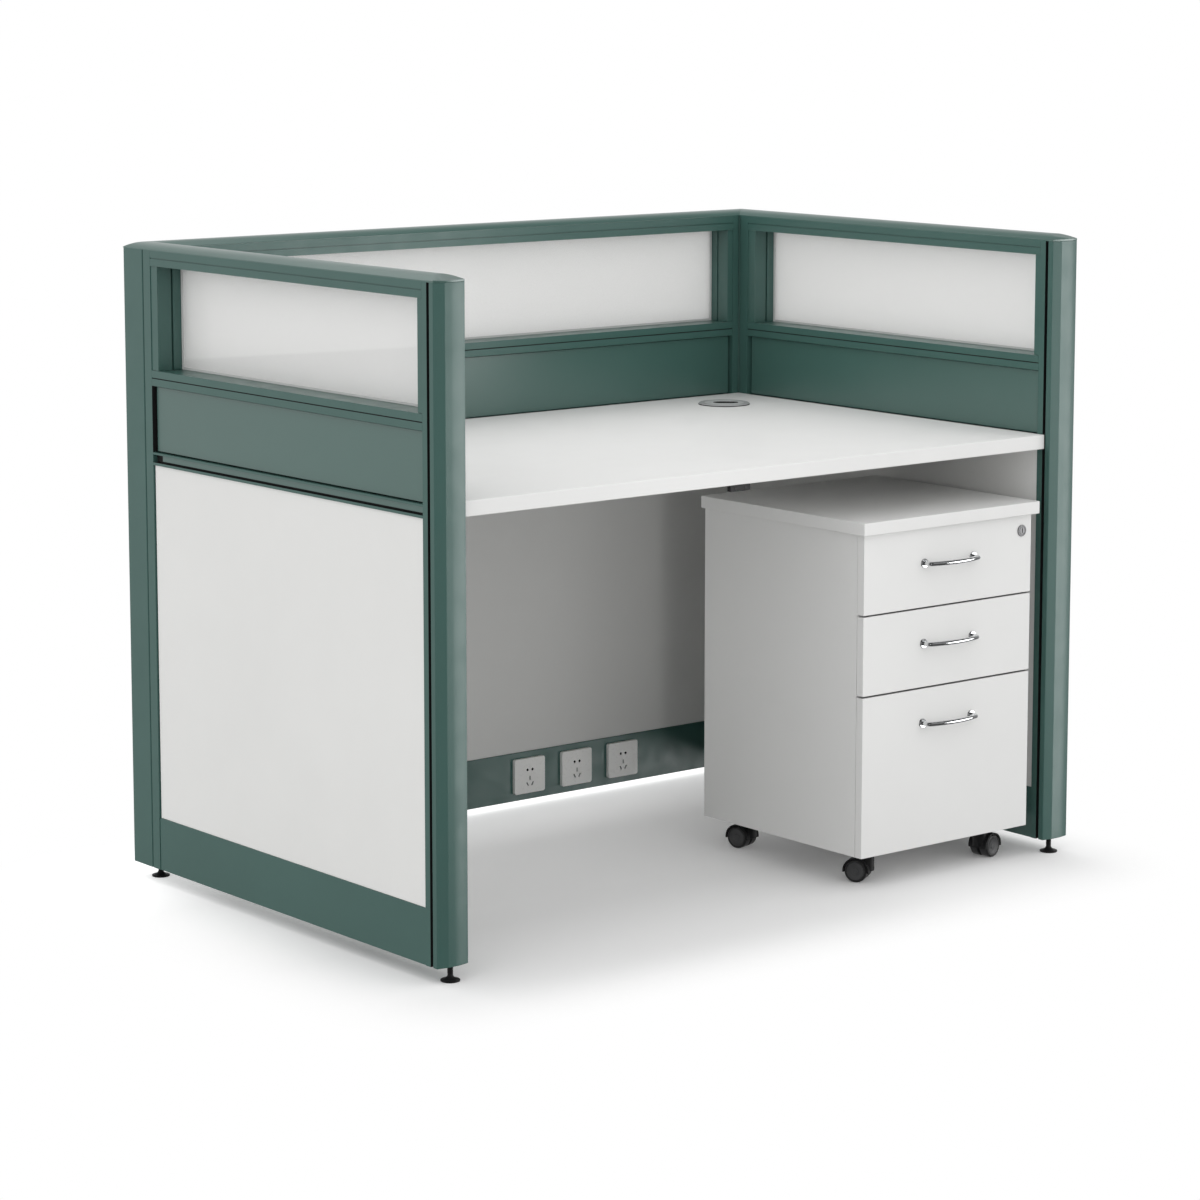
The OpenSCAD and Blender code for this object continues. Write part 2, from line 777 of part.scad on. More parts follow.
// Corner posts: square tubes with a plug at the foot
module corner_post() {
    translate([side_x - face, back_y - face, foot_gap]) difference() {
        linear_extrude(height = cap_z - foot_gap) rounded(panel_t, panel_t, post_r);
        translate([0, 0, post_plug_h]) linear_extrude(height = cap_z)
            square(panel_t - 2 * post_wall, center = true);
        translate([face - foot_inset, face - foot_inset, -over])
            cylinder(r = foot_stem_r + fit, h = post_plug_h + 2 * over);
        translate([-face, 0, -foot_gap]) bolt_rows(0, 90)
            translate([0, 0, -over]) cylinder(r = bolt_r + fit, h = post_wall + 2 * over);
        translate([0, -face, -foot_gap]) rotate(90) bolt_rows(0, 90)
            translate([0, 0, -over]) cylinder(r = bolt_r + fit, h = post_wall + 2 * over);
    }
}

// A rectangle with rounded corners
module rounded(width, height, r) {
    square([width, height - 2 * r], center = true);
    square([width - 2 * r, height], center = true);
    for (x = [-1, 1], y = [-1, 1])
        translate([x * (width / 2 - r), y * (height / 2 - r)]) circle(r = r);
}

module left_corner_post() { green() mirror([1, 0, 0]) corner_post(); }
module right_corner_post() { green() corner_post(); }

// End posts and their snap-on covers, with sloping shoulders
shoulder_angle = atan(shoulder_d / shoulder_w);
side_corner = end_post_d - shoulder_d;
flat_half = face - shoulder_w;
core_face = face - end_cover_wall;
core_side = side_corner - end_cover_wall * tan((90 - shoulder_angle) / 2);
core_flat = flat_half - end_cover_wall * tan(shoulder_angle / 2);
core_front = end_post_d - end_cover_wall;

module end_outline() {
    polygon([
        [0, -face], [side_corner, -face], [end_post_d, -flat_half],
        [end_post_d, flat_half], [side_corner, face], [0, face]
    ]);
}

module core_outline() {
    polygon([
        [end_groove_w, -core_face], [core_side, -core_face], [core_front, -core_flat],
        [core_front, core_flat], [core_side, core_face], [end_groove_w, core_face]
    ]);
}

module end_post() {
    core = face - end_groove_d;
    difference() {
        translate([side_len, 0, foot_gap]) linear_extrude(height = cap_z - end_plate_t / 3 - foot_gap) {
            core_outline();
            translate([0, -core]) square([end_groove_w + over, 2 * core]);
        }
        translate([side_len + end_post_d - front_foot_inset, face - foot_inset, foot_gap - over])
            cylinder(r = foot_stem_r + fit, h = foot_engage + foot_travel + 2 * over);
        bolt_rows(side_len, 90) translate([0, 0, -over])
            cylinder(r = bolt_r + fit, h = post_wall + 2 * over);
    }
}

module end_cover() {
    translate([side_len, 0, foot_gap]) linear_extrude(height = cap_z - end_plate_t / 3 - foot_gap)
        difference() {
            intersection() {
                end_outline();
                translate([end_groove_w, -panel_t]) square([panel_t, 2 * panel_t]);
            }
            core_outline();
        }
}

module left_end_post() { green() at_left() end_post(); }
module right_end_post() { green() at_right() end_post(); }
module end_covers() {
    green() {
        at_left() end_cover();
        at_right() end_cover();
    }
}

// Bolts that join the panels to the posts
module post_bolts() {
    grey() {
        at_back() bolt_rows(0, 90) bolt();
        at_back() bolt_rows(back_len, -90) bolt();
        for (place = [0, 1]) mirror([place, 0, 0]) at_right() {
            bolt_rows(0, 90) bolt();
            bolt_rows(side_len, -90) bolt();
        }
    }
}

// Levelling feet: a pad that flares up into a stem
function flare(t) = [
    foot_stem_r + (foot_r - foot_stem_r) * (1 - sin(t)),
    foot_rim_h + foot_flare_h * (1 - cos(t))
];

module foot(x, y) {
    black() translate([x, y, 0]) rotate_extrude() polygon(concat(
        [[0, 0], [foot_r, 0]],
        [for (i = [0 : flare_steps]) flare(90 * i / flare_steps)],
        [[foot_stem_r, foot_gap + foot_engage], [0, foot_gap + foot_engage]]
    ));
}

foot_x = side_x - foot_inset;
module front_left_foot() { foot(-foot_x, front_y + front_foot_inset); }
module front_right_foot() { foot(foot_x, front_y + front_foot_inset); }
module rear_left_foot() { foot(-foot_x, back_y - foot_inset); }
module rear_right_foot() { foot(foot_x, back_y - foot_inset); }

// Desktop, grommet, brackets and clip
module desktop() {
    white() difference() {
        slab([desk_clear - inner_x, inner_x - desk_clear], [desk_front_y, inner_y - desk_clear],
            [desk_low, desk_h]);
        translate([grommet_x, grommet_y, desk_low - over])
            cylinder(r = grommet_hole_r, h = desk_t + 2 * over);
    }
}

module grommet_ring() {
    ledge = lid_top - lid_t - turn_gap;
    grey() translate([grommet_x, grommet_y, 0]) rotate_extrude() polygon([
        [collar_in_r - grommet_wall, desk_h - grommet_collar],
        [grommet_hole_r - turn_gap, desk_h - grommet_collar],
        [grommet_hole_r - turn_gap, desk_h],
        [grommet_flange_r, desk_h],
        [grommet_flange_r, desk_h + grommet_flange_h / 2],
        [grommet_flange_r - grommet_flange_h / 2, desk_h + grommet_flange_h],
        [collar_in_r, desk_h + grommet_flange_h],
        [collar_in_r, ledge],
        [collar_in_r - grommet_wall, ledge]
    ]);
}

module grommet_lid() {
    half = (lid_slot_l - lid_slot_w) / 2;
    grey() translate([grommet_x, grommet_y, lid_top - lid_t]) rotate(lid_turn) difference() {
        cylinder(r = lid_r, h = lid_t);
        translate([lid_slot_shift, 0, -over]) linear_extrude(height = lid_t + 2 * over) {
            square([2 * half, lid_slot_w], center = true);
            for (x = [-half, half]) translate([x, 0]) circle(r = lid_slot_w / 2);
        }
    }
}

// An angle bracket seated on the inner tile, below the desktop
module bracket(at) {
    along(at - bracket_l / 2, at + bracket_l / 2) {
        rect([-tile_face - bracket_t, -tile_face], [desk_low - bracket_drop, desk_low]);
        rect([-tile_face - bracket_leg, -tile_face], [desk_low - bracket_t, desk_low]);
    }
}

module desk_brackets() {
    black() {
        for (at = [bracket_inset, back_len / 2, back_len - bracket_inset]) at_back() bracket(at);
        for (at = [bracket_inset, inner_y - desk_front_y - bracket_front]) {
            at_left() bracket(at);
            at_right() bracket(at);
        }
    }
}

module edge_clip() {
    translate([-clip_offset, desk_front_y, desk_low - clip_h]) {
        black() translate([-clip_w / 2, 0, 0]) cube([clip_w, clip_d, clip_h]);
        grey() for (side = [-1, 1]) translate([side * clip_screw_x, 0, clip_h / 2])
            rotate([90, 0, 0]) cylinder(r = clip_screw_r, h = clip_screw_h);
    }
}

// Pedestal carcass
module pedestal_top() {
    white() slab([ped_left - ped_top_side, ped_right + ped_top_side],
        [ped_front_y, ped_rear_y], [ped_under_top, ped_h]);
}

module pedestal_sides() {
    white() for (x = [ped_left, ped_right - board_t])
        slab([x, x + board_t], [carcass_y, ped_rear_y], [castor_h, ped_under_top]);
}

module pedestal_back() {
    white() slab([ped_left + board_t, ped_right - board_t], [ped_rear_y - ped_back_t, ped_rear_y],
        [castor_h, ped_under_top]);
}

module pedestal_base() {
    white() difference() {
        slab([ped_left + board_t, ped_right - board_t], [carcass_y, ped_rear_y - ped_back_t],
            [castor_h, castor_h + board_t]);
        for (x = castor_xs, y = castor_ys) translate([x, y, castor_h - over])
            cylinder(r = boss_r + turn_gap, h = board_t + 2 * over);
    }
}

module castor_plates() {
    grey() for (x = castor_xs, y = castor_ys) translate([x, y, castor_h]) difference() {
        union() {
            translate([-castor_plate_w / 2, -castor_plate_w / 2, -castor_plate_t])
                cube([castor_plate_w, castor_plate_w, castor_plate_t]);
            cylinder(r = boss_r, h = boss_h);
        }
        translate([0, 0, -castor_plate_t - over])
            cylinder(r = kingpin_r + fit, h = castor_plate_t + boss_h + 2 * over);
    }
}

// Runners: a channel on the carcass and a rail on the drawer box
channel_d = runner_w * 3 / 4;
upper_box_z = upper_front_z + box_lift;
middle_box_z = middle_front_z + box_lift;
lower_box_z = lower_front_z + box_lift + board_t;
upper_runner_z = upper_box_z + box_h / 2;
middle_runner_z = middle_box_z + box_h / 2;
lower_runner_z = lower_box_z + file_box_h / 2;

module lengthwise() {
    translate([0, carcass_y + runner_l, 0]) rotate([90, 0, 0])
        linear_extrude(height = runner_l) children();
}

module channel(z) {
    for (side = [-1, 1]) translate([ped_mid + side * inner_w / 2, 0, z]) lengthwise()
        scale([side, 1]) difference() {
            rect([-channel_d, 0], [-runner_h / 2, runner_h / 2]);
            rect([-channel_d - over, -runner_wall],
                [runner_wall - runner_h / 2, runner_h / 2 - runner_wall]);
        }
}

module slide_rail(z) {
    inside = runner_h / 2 - runner_wall - runner_clear;
    for (side = [-1, 1]) translate([ped_mid + side * inner_w / 2, 0, z]) lengthwise()
        scale([side, 1]) {
            rect([-channel_d, -runner_wall - runner_clear], [-inside, inside]);
            rect([seam - runner_w, -channel_d], [-inside * 2 / 3, inside * 2 / 3]);
        }
}

module cabinet_runners() {
    bright() {
        channel(upper_runner_z);
        channel(middle_runner_z);
        channel(lower_runner_z);
    }
}

// Drawers
module drawer_front(low, high) {
    slab([ped_left, ped_right], [drawer_y, drawer_y + front_t], [low, high]);
}

module drawer_box(low, height, runner_z) {
    left = ped_mid - box_w / 2;
    right = ped_mid + box_w / 2;
    near = drawer_y + front_t;
    far = near + box_l;
    inside = [left + box_wall + seam, right - box_wall - seam];
    light() {
        for (x = [left, right - box_wall])
            slab([x, x + box_wall], [near, far], [low, low + height]);
        for (y = [near, far - box_wall])
            slab(inside, [y, y + box_wall], [low + box_floor_t + seam, low + height]);
        slab(inside, [near, far], [low, low + box_floor_t]);
    }
    bright() slide_rail(runner_z);
}

module upper_drawer_front() {
    white() difference() {
        drawer_front(upper_front_z, upper_front_z + front_h);
        translate([lock_x, drawer_y - over, lock_z]) rotate([-90, 0, 0])
            cylinder(r = lock_body_r + turn_gap, h = front_t + 2 * over);
    }
}
module middle_drawer_front() {
    white() drawer_front(middle_front_z, middle_front_z + front_h);
}
module file_drawer_front() {
    white() drawer_front(lower_front_z, lower_front_z + lower_front_h);
}
module upper_drawer_box() { drawer_box(upper_box_z, box_h, upper_runner_z); }
module middle_drawer_box() { drawer_box(middle_box_z, box_h, middle_runner_z); }
module file_drawer_box() { drawer_box(lower_box_z, file_box_h, lower_runner_z); }

// Bow handles: two rosettes, two bends and a bar that bows outwards
module arc_bar(r, from, sweep, bar_r, turns) {
    rotate(from) rotate_extrude(angle = sweep, $fn = turns) translate([r, 0])
        circle(r = bar_r, $fn = 32);
}

module handle(top) {
    bright() translate([ped_mid, drawer_y, top - handle_drop]) {
        translate([0, bow_centre, 0])
            arc_bar(handle_bow_r, 270 - bow_angle - bow_lap, 2 * (bow_angle + bow_lap), bar_r, 360);
        for (side = [0, 1]) mirror([side, 0, 0]) translate([bow_half, bend_y, 0]) {
            arc_bar(handle_bend_r, bow_angle - 90, 90 - bow_angle, handle_r, 64);
            translate([handle_bend_r, -bend_y, 0]) rotate([90, 0, 0]) {
                cylinder(r = bar_r, h = over - bend_y, $fn = 32);
                cylinder(r = rosette_r, h = rosette_t);
            }
        }
    }
}

module upper_handle() { handle(upper_front_z + front_h); }
module middle_handle() { handle(middle_front_z + front_h); }
module file_handle() { handle(lower_front_z + lower_front_h); }

// Lock: a housing in the upper front and the barrel that turns in it
module at_lock() { translate([lock_x, drawer_y, lock_z]) rotate([-90, 0, 0]) children(); }

module lock_housing() {
    bright() at_lock() difference() {
        union() {
            translate([0, 0, -lock_flange_t]) cylinder(r = lock_flange_r, h = lock_flange_t);
            cylinder(r = lock_body_r, h = front_t);
        }
        translate([0, 0, -lock_flange_t - over])
            cylinder(r = barrel_r + fit, h = front_t + lock_flange_t + 2 * over);
    }
}

module lock_barrel() {
    key_w = barrel_r / 4;
    bright() at_lock() difference() {
        union() {
            translate([0, 0, -lock_flange_t]) cylinder(r = barrel_r, h = front_t + lock_flange_t);
            translate([0, -cam_offset, front_t - over]) cylinder(r = cam_pin_r, h = 2 * over);
        }
        translate([-key_w / 2, -barrel_r * 2 / 3, -lock_flange_t - over])
            cube([key_w, barrel_r * 4 / 3, front_t / 2]);
    }
}

// Castors: hood with swivel pin and axle, and twin wheels
module at_castor(index) {
    x = castor_xs[floor(index / 2)];
    y = castor_ys[index % 2];
    translate([x, y, 0]) rotate(castor_heading[index]) children();
}

module across(r, width) { rotate([90, 0, 0]) cylinder(r = r, h = width, center = true); }

module hood(index) {
    black() at_castor(index) {
        difference() {
            union() {
                translate([castor_trail, 0, wheel_r]) across(hood_r, castor_w);
                translate([0, 0, wheel_r]) cylinder(r = seat_r, h = seat_top - wheel_r);
            }
            for (side = [-1, 1])
                translate([castor_trail, side * (castor_w + web_t) / 2, wheel_r])
                    across(wheel_r + hood_gap, castor_w);
            translate([castor_trail - 2 * hood_r, -castor_w, wheel_r - 4 * hood_r])
                cube([4 * hood_r, 2 * castor_w, 4 * hood_r - hood_wall]);
        }
        translate([0, 0, seat_top - over])
            cylinder(r = kingpin_r, h = over + turn_gap + castor_plate_t + boss_h);
        translate([castor_trail, 0, wheel_r]) {
            across(axle_r, castor_w - hood_wall);
            across(2 * axle_r, web_t);
        }
    }
}

module wheels(index) {
    near = web_t / 2 + turn_gap;
    far = near + wheel_w;
    rim = wheel_r * 5 / 6;
    black() at_castor(index) translate([castor_trail, 0, wheel_r])
        for (side = [-1, 1]) rotate([side * 90, 0, 0]) rotate_extrude() polygon([
            [axle_r + fit, near], [wheel_r - hood_gap, near], [wheel_r, near + hood_gap],
            [wheel_r, far - 2 * hood_gap], [wheel_r - hood_gap * 2, far], [rim, far],
            [rim - hood_gap / 2, far - hood_gap], [axle_r + fit, far - hood_gap]
        ]);
}

module front_left_hood() { hood(0); }
module rear_left_hood() { hood(1); }
module front_right_hood() { hood(2); }
module rear_right_hood() { hood(3); }
module front_left_wheels() { wheels(0); }
module rear_left_wheels() { wheels(1); }
module front_right_wheels() { wheels(2); }
module rear_right_wheels() { wheels(3); }

left_frame();
back_frame();
right_frame();
left_cap();
back_cap();
right_cap();
left_glass();
back_glass();
right_glass();
glazing_gaskets();
left_fascias();
back_fascias();
right_fascias();
left_tiles();
back_tiles();
right_tiles();
left_kick_covers();
back_kick_covers();
right_kick_covers();
left_corner_post();
right_corner_post();
left_end_post();
right_end_post();
end_covers();
post_bolts();
front_left_foot();
front_right_foot();
rear_left_foot();
rear_right_foot();
desktop();
desk_brackets();
grommet_ring();
grommet_lid();
edge_clip();
sockets();
pedestal_top();
pedestal_sides();
pedestal_back();
pedestal_base();
castor_plates();
cabinet_runners();
upper_drawer_front();
upper_drawer_box();
upper_handle();
middle_drawer_front();
middle_drawer_box();
middle_handle();
file_drawer_front();
file_drawer_box();
file_handle();
lock_housing();
lock_barrel();
front_left_hood();
rear_left_hood();
front_right_hood();
rear_right_hood();
front_left_wheels();
rear_left_wheels();
front_right_wheels();
rear_right_wheels();
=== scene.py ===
import json
import math
from functools import partial

import bmesh
import bpy
from bpy.props import FloatProperty, FloatVectorProperty, IntProperty, PointerProperty
from mathutils import Matrix, Vector

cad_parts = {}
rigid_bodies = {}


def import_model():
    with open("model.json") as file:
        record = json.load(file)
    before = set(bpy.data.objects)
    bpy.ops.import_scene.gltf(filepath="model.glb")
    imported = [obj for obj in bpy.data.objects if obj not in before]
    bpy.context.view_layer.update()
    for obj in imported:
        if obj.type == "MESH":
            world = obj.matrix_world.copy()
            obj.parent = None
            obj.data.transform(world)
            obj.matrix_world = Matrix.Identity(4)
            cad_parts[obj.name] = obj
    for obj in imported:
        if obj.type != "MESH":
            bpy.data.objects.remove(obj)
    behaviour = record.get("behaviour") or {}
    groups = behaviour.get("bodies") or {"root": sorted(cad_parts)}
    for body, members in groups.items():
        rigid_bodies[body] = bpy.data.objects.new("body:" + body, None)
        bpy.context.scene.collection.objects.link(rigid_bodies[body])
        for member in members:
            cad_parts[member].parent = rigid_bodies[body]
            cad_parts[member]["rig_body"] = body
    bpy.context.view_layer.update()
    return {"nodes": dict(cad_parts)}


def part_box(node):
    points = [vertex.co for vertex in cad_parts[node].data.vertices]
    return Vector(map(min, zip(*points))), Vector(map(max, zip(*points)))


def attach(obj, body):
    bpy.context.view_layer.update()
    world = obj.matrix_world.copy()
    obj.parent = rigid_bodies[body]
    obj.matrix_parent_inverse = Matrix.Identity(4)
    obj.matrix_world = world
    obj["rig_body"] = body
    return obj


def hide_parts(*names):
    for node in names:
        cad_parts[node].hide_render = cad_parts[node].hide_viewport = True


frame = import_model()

bl_info = {
    "name": "Cubicle workstation",
    "version": (1, 0, 0),
    "blender": (4, 5, 0),
    "location": "View3D > Sidebar > Workstation",
    "description": "Dresses the workstation's frame with rounded edges, small fittings and finishes",
    "category": "Object",
}

OUTWARD = {"left": Vector((-1, 0, 0)), "back": Vector((0, 1, 0)), "right": Vector((1, 0, 0))}
SIDES = tuple(OUTWARD)
CORNERS = ("front_left", "front_right", "rear_left", "rear_right")
DRAWERS = ("upper", "middle", "file")

# Distance within which a CAD node's loose vertices are one
WELD = 0.00001
# Angle, in degrees, below which neighbouring triangles are one flat face
FLAT = 0.3
# Angle, in degrees, past which an edge is rounded
FOLD = 38.0
# Distance within which a face or a corner lies at a place
NEAR = 0.0005
# Share of its normal past which a face looks along an axis, and below which it stands across it
ALONG, ACROSS = 0.9, 0.5
# Colour sockets of a Mix node, whose names repeat
FIRST_COLOUR, SECOND_COLOUR, MIXED_COLOUR = 6, 7, 2

# Heights between which the screens' recesses lie, from the desktop's and the fascias' tops; faces
# there get painted shade
DESK_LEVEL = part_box("desktop")[1].z
FASCIA_LOW, FASCIA_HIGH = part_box("left_fascias")
FASCIA_BAND = (DESK_LEVEL - 0.0012, FASCIA_HIGH.z - 0.0003)
RAIL_CHANNEL = (DESK_LEVEL - 0.019, DESK_LEVEL - 0.0045)
SILL_GROOVE = (FASCIA_HIGH.z + 0.0118, FASCIA_HIGH.z + 0.0142)
BAND_MARGIN = 0.0008
# Reach of the beam behind the fascias, to the sides and to the back
BEAM_REACH = (-FASCIA_LOW.x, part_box("back_fascias")[1].y - 0.0005)
# Place past which the rear stiles stand, to the side and to the back
STILE_START = (-FASCIA_LOW.x - 0.0137, FASCIA_HIGH.y - 0.003)

# Roundings of the small pieces
FINE_EDGE, TURNED_EDGE, PRESSED_EDGE = 0.0002, 0.0003, 0.0004
SOFT_EDGE, HOOD_EDGE, PLATE_EDGE = 0.0005, 0.0009, 0.0012


# Properties that a user can change

def length(name, description, default, low, high, precision=5):
    return FloatProperty(name=name, description=description, default=default, min=low, max=high,
                         subtype="DISTANCE", unit="LENGTH", precision=precision)


def paint(name, description, default):
    return FloatVectorProperty(name=name, description=description, default=default, size=3,
                               min=0.0, max=1.0, subtype="COLOR")


def lamp_power(name, description, default):
    return FloatProperty(name=name, description=description, default=default, min=0.0,
                         max=1000.0, subtype="POWER", unit="POWER")


class WorkstationSizes(bpy.types.PropertyGroup):
    profile_edge: length(
        "Profile edge", "Rounding of the aluminium profiles' edges", 0.00045, 0.0001, 0.001)
    cover_edge: length(
        "Cover edge", "Rounding along the folds of the end covers", 0.0014, 0.0002, 0.003)
    board_edge: length(
        "Board edge", "Rounding of the edge banding on cabinet boards", 0.0008, 0.0002, 0.002)
    top_edge: length(
        "Top edge", "Rounding of the desktop and of the pedestal's top", 0.0015, 0.0005, 0.004)
    handle_pitch: length(
        "Handle pitch", "Distance between a handle's two legs", 0.116, 0.096, 0.16, 4)
    handle_reach: length(
        "Handle reach", "How far a handle stands in front of its drawer", 0.028, 0.022, 0.036, 4)
    handle_rod: length("Handle rod", "Radius of a handle's rod", 0.004, 0.003, 0.005, 4)
    handle_bend: length(
        "Handle bend", "Radius of the bends between a handle's legs and its bar",
        0.012, 0.008, 0.016, 4)
    handle_bow: length("Handle bow", "Radius of the bar's bow", 0.18, 0.14, 0.4, 3)
    thread_pitch: length(
        "Thread pitch", "Pitch of the thread on a levelling foot", 0.0015, 0.001, 0.0025)
    turning_steps: IntProperty(
        name="Turning steps", description="Number of steps round a turned piece",
        default=72, min=24, max=128)


class WorkstationColours(bpy.types.PropertyGroup):
    green: paint("Panel green", "Powder coat of the profiles, fascias and kick covers",
                 (0.051, 0.121, 0.105))
    board: paint("Board white", "Melamine of the desktop and the pedestal", (0.84, 0.84, 0.83))
    tile: paint("Tile grey", "Laminate of the panel tiles", (0.8, 0.8, 0.785))
    glass: paint("Frosted glass", "Tint of the frosted panes", (0.985, 0.98, 0.97))
    socket: paint("Socket white", "Moulded plastic of the socket plates", (0.93, 0.93, 0.91))
    grommet: paint("Grommet grey", "Moulded plastic of the cable grommet's ring",
                   (0.4, 0.41, 0.41))
    lid: paint("Lid grey", "Moulded plastic of the cable grommet's lid", (0.56, 0.57, 0.57))


class WorkstationLight(bpy.types.PropertyGroup):
    sky: FloatProperty(
        name="Room light", description="Strength of the even light from all round",
        default=1.0, min=0.0, max=2.0)
    key: lamp_power("Key lamp", "Power of the large lamp above on the front right", 5.0)
    knee: lamp_power("Knee lamp", "Power of the shaded lamp that lights under the desktop", 0.15)
    top: lamp_power("Top lamp", "Power of the lamp overhead", 16.0)
    sheen: lamp_power("Sheen lamp", "Power of the lamp that only shows in the gloss", 155.0)
    # Painted light: white that the floor shows near the back panel, lightening its shadow there
    floor_painted_light: FloatProperty(
        name="Floor lift", description="White added to the floor near the back panel, as seen",
        default=0.55, min=0.0, max=1.0)
    floor_fade: FloatProperty(
        name="Floor fade", description="Distance round the object over which the floor turns white",
        default=0.24, min=0.05, max=2.0, subtype="DISTANCE", unit="LENGTH")


# Building of node trees

def feed(node, feeds):
    """Links each input to the given output, or sets it to the given value."""
    for key, value in feeds.items():
        if isinstance(value, bpy.types.NodeSocket):
            node.id_data.links.new(value, node.inputs[key])
        else:
            node.inputs[key].default_value = value


def adder(tree):
    """A function that adds a node to the tree, with its settings and feeds."""
    def add(kind, feeds=None, **settings):
        node = tree.nodes.new(kind)
        for name, value in settings.items():
            setattr(node, name, value)
        feed(node, feeds or {})
        return node

    return add


def maths(add, operation, a, b=0.0):
    return add("ShaderNodeMath", {0: a, 1: b}, operation=operation).outputs[0]


def ranged(add, value, start, end, low=0.0, high=1.0, smooth=False):
    """Takes a value from the range of start and end to that of low and high."""
    node = add("ShaderNodeMapRange", {"Value": value, "From Min": start, "From Max": end,
                                      "To Min": low, "To Max": high},
               interpolation_type="SMOOTHSTEP" if smooth else "LINEAR")
    return node.outputs["Result"]


def mixed(add, factor, first, second, blend="MIX"):
    node = add("ShaderNodeMix", {0: factor, FIRST_COLOUR: first, SECOND_COLOUR: second},
               data_type="RGBA", blend_type=blend)
    return node.outputs[MIXED_COLOUR]


def mixed_shaders(add, factor, first, second):
    return add("ShaderNodeMixShader", {"Fac": factor, 1: first.outputs[0],
                                       2: second.outputs[0]})


# Materials

def shader_tree(name):
    """A new material, its Principled shader, and a function that adds nodes."""
    material = bpy.data.materials.new(name)
    material.use_nodes = True
    tree = material.node_tree
    shader = next(n for n in tree.nodes if n.type == "BSDF_PRINCIPLED")
    return material, shader, adder(tree)


def shade(colour, share):
    return tuple(min(1.0, c * share) for c in colour[:3]) + (1.0,)


def finish(name, colour, roughness, spread=0.03, cloud=5.0, grain=900.0, bump=0.2,
           bump_depth=0.0001, rough_spread=0.05, metallic=0.0, stretch=(1.0, 1.0, 1.0),
           gleam=0.5, coat=0.0):
    """A finish whose tone, gloss and fine texture vary over the surface."""
    found = bpy.data.materials.get(name)
    if found:
        return found
    material, shader, add = shader_tree(name)
    place = add("ShaderNodeTexCoord").outputs["Object"]
    stretched = add("ShaderNodeMapping", {"Vector": place, "Scale": stretch}).outputs["Vector"]
    clouds = add("ShaderNodeTexNoise", {"Vector": place, "Scale": cloud, "Detail": 4.0,
                                        "Roughness": 0.6}).outputs["Fac"]
    specks = add("ShaderNodeTexNoise", {"Vector": stretched, "Scale": grain, "Detail": 2.0,
                                        "Roughness": 0.55}).outputs["Fac"]
    patches = add("ShaderNodeTexNoise", {"Vector": stretched, "Scale": cloud * 7,
                                         "Detail": 3.0}).outputs["Fac"]
    tone = mixed(add, ranged(add, clouds, 0.3, 0.7), shade(colour, 1 - spread),
                 shade(colour, 1 + spread))
    fine = ranged(add, specks, 0.25, 0.75, 1 - spread, 1.0)
    relief = add("ShaderNodeBump", {"Height": specks, "Strength": bump, "Distance": bump_depth})
    feed(shader, {
        "Base Color": mixed(add, 1.0, tone, fine, blend="MULTIPLY"),
        "Roughness": ranged(add, patches, 0.3, 0.7, roughness - rough_spread,
                            roughness + rough_spread),
        "Normal": relief.outputs["Normal"], "Metallic": metallic,
        "Specular IOR Level": gleam, "Coat Weight": coat, "Coat Roughness": 0.28})
    return material


def colours():
    return bpy.context.scene.workstation_colours


def powder_coat():
    return finish("green_powder_coat", colours().green, 0.32, spread=0.035, cloud=4.0,
                  grain=420.0, bump_depth=0.00006, rough_spread=0.04)


def sheet_coat():
    """The same green on the smoother folded sheets."""
    green = tuple(c * k for c, k in zip(colours().green, (0.9, 0.98, 0.96)))
    return finish("green_sheet_coat", green, 0.3, cloud=3.0, grain=520.0, bump=0.12,
                  bump_depth=0.00004, rough_spread=0.01, gleam=0.9, coat=0.35)


def melamine():
    return finish("white_melamine", colours().board, 0.48, spread=0.012, cloud=3.0,
                  grain=1300.0, bump=0.15, bump_depth=0.00005, gleam=0.25)


def tile_laminate():
    return finish("tile_laminate", colours().tile, 0.6, spread=0.02, cloud=2.5, grain=700.0)


def socket_plastic():
    return finish("socket_white_plastic", colours().socket, 0.3, spread=0.01, cloud=30.0,
                  grain=2500.0, bump=0.08, bump_depth=0.00003)


def grommet_plastic():
    return finish("grommet_grey_plastic", colours().grommet, 0.4, cloud=40.0, grain=2600.0,
                  bump=0.15, bump_depth=0.00004)


def lid_plastic():
    return finish("lid_plastic", colours().lid, 0.4, cloud=40.0, grain=2600.0, bump=0.15,
                  bump_depth=0.00004)


def black_plastic():
    return finish("moulded_black_plastic", (0.016, 0.016, 0.017), 0.45, spread=0.15, cloud=40.0,
                  grain=2200.0, bump_depth=0.00004, gleam=0.2)


def tyre_plastic():
    return finish("tyre_plastic", (0.02, 0.02, 0.021), 0.42, spread=0.15, cloud=60.0,
                  grain=1800.0, bump_depth=0.00004)


def hub_plastic():
    return finish("hub_plastic", (0.062, 0.063, 0.065), 0.5, spread=0.1, cloud=60.0,
                  grain=2200.0, bump=0.3, bump_depth=0.00005)


def gasket_rubber():
    return finish("pale_gasket_rubber", (0.62, 0.63, 0.62), 0.55, spread=0.04, cloud=20.0,
                  grain=1500.0, bump_depth=0.00005)


def black_steel():
    return finish("coated_black_steel", (0.03, 0.03, 0.032), 0.45, spread=0.12, cloud=20.0,
                  bump=0.3, bump_depth=0.00008)


def zinc_steel():
    return finish("zinc_plated_steel", (0.56, 0.57, 0.58), 0.36, spread=0.12, cloud=35.0,
                  grain=400.0, bump=0.12, bump_depth=0.00004, metallic=1.0,
                  stretch=(1.0, 0.08, 1.0))


def chrome():
    return finish("polished_chrome", (0.72, 0.73, 0.74), 0.09, spread=0.02, cloud=60.0,
                  bump=0.03, bump_depth=0.00002, rough_spread=0.03, metallic=1.0)


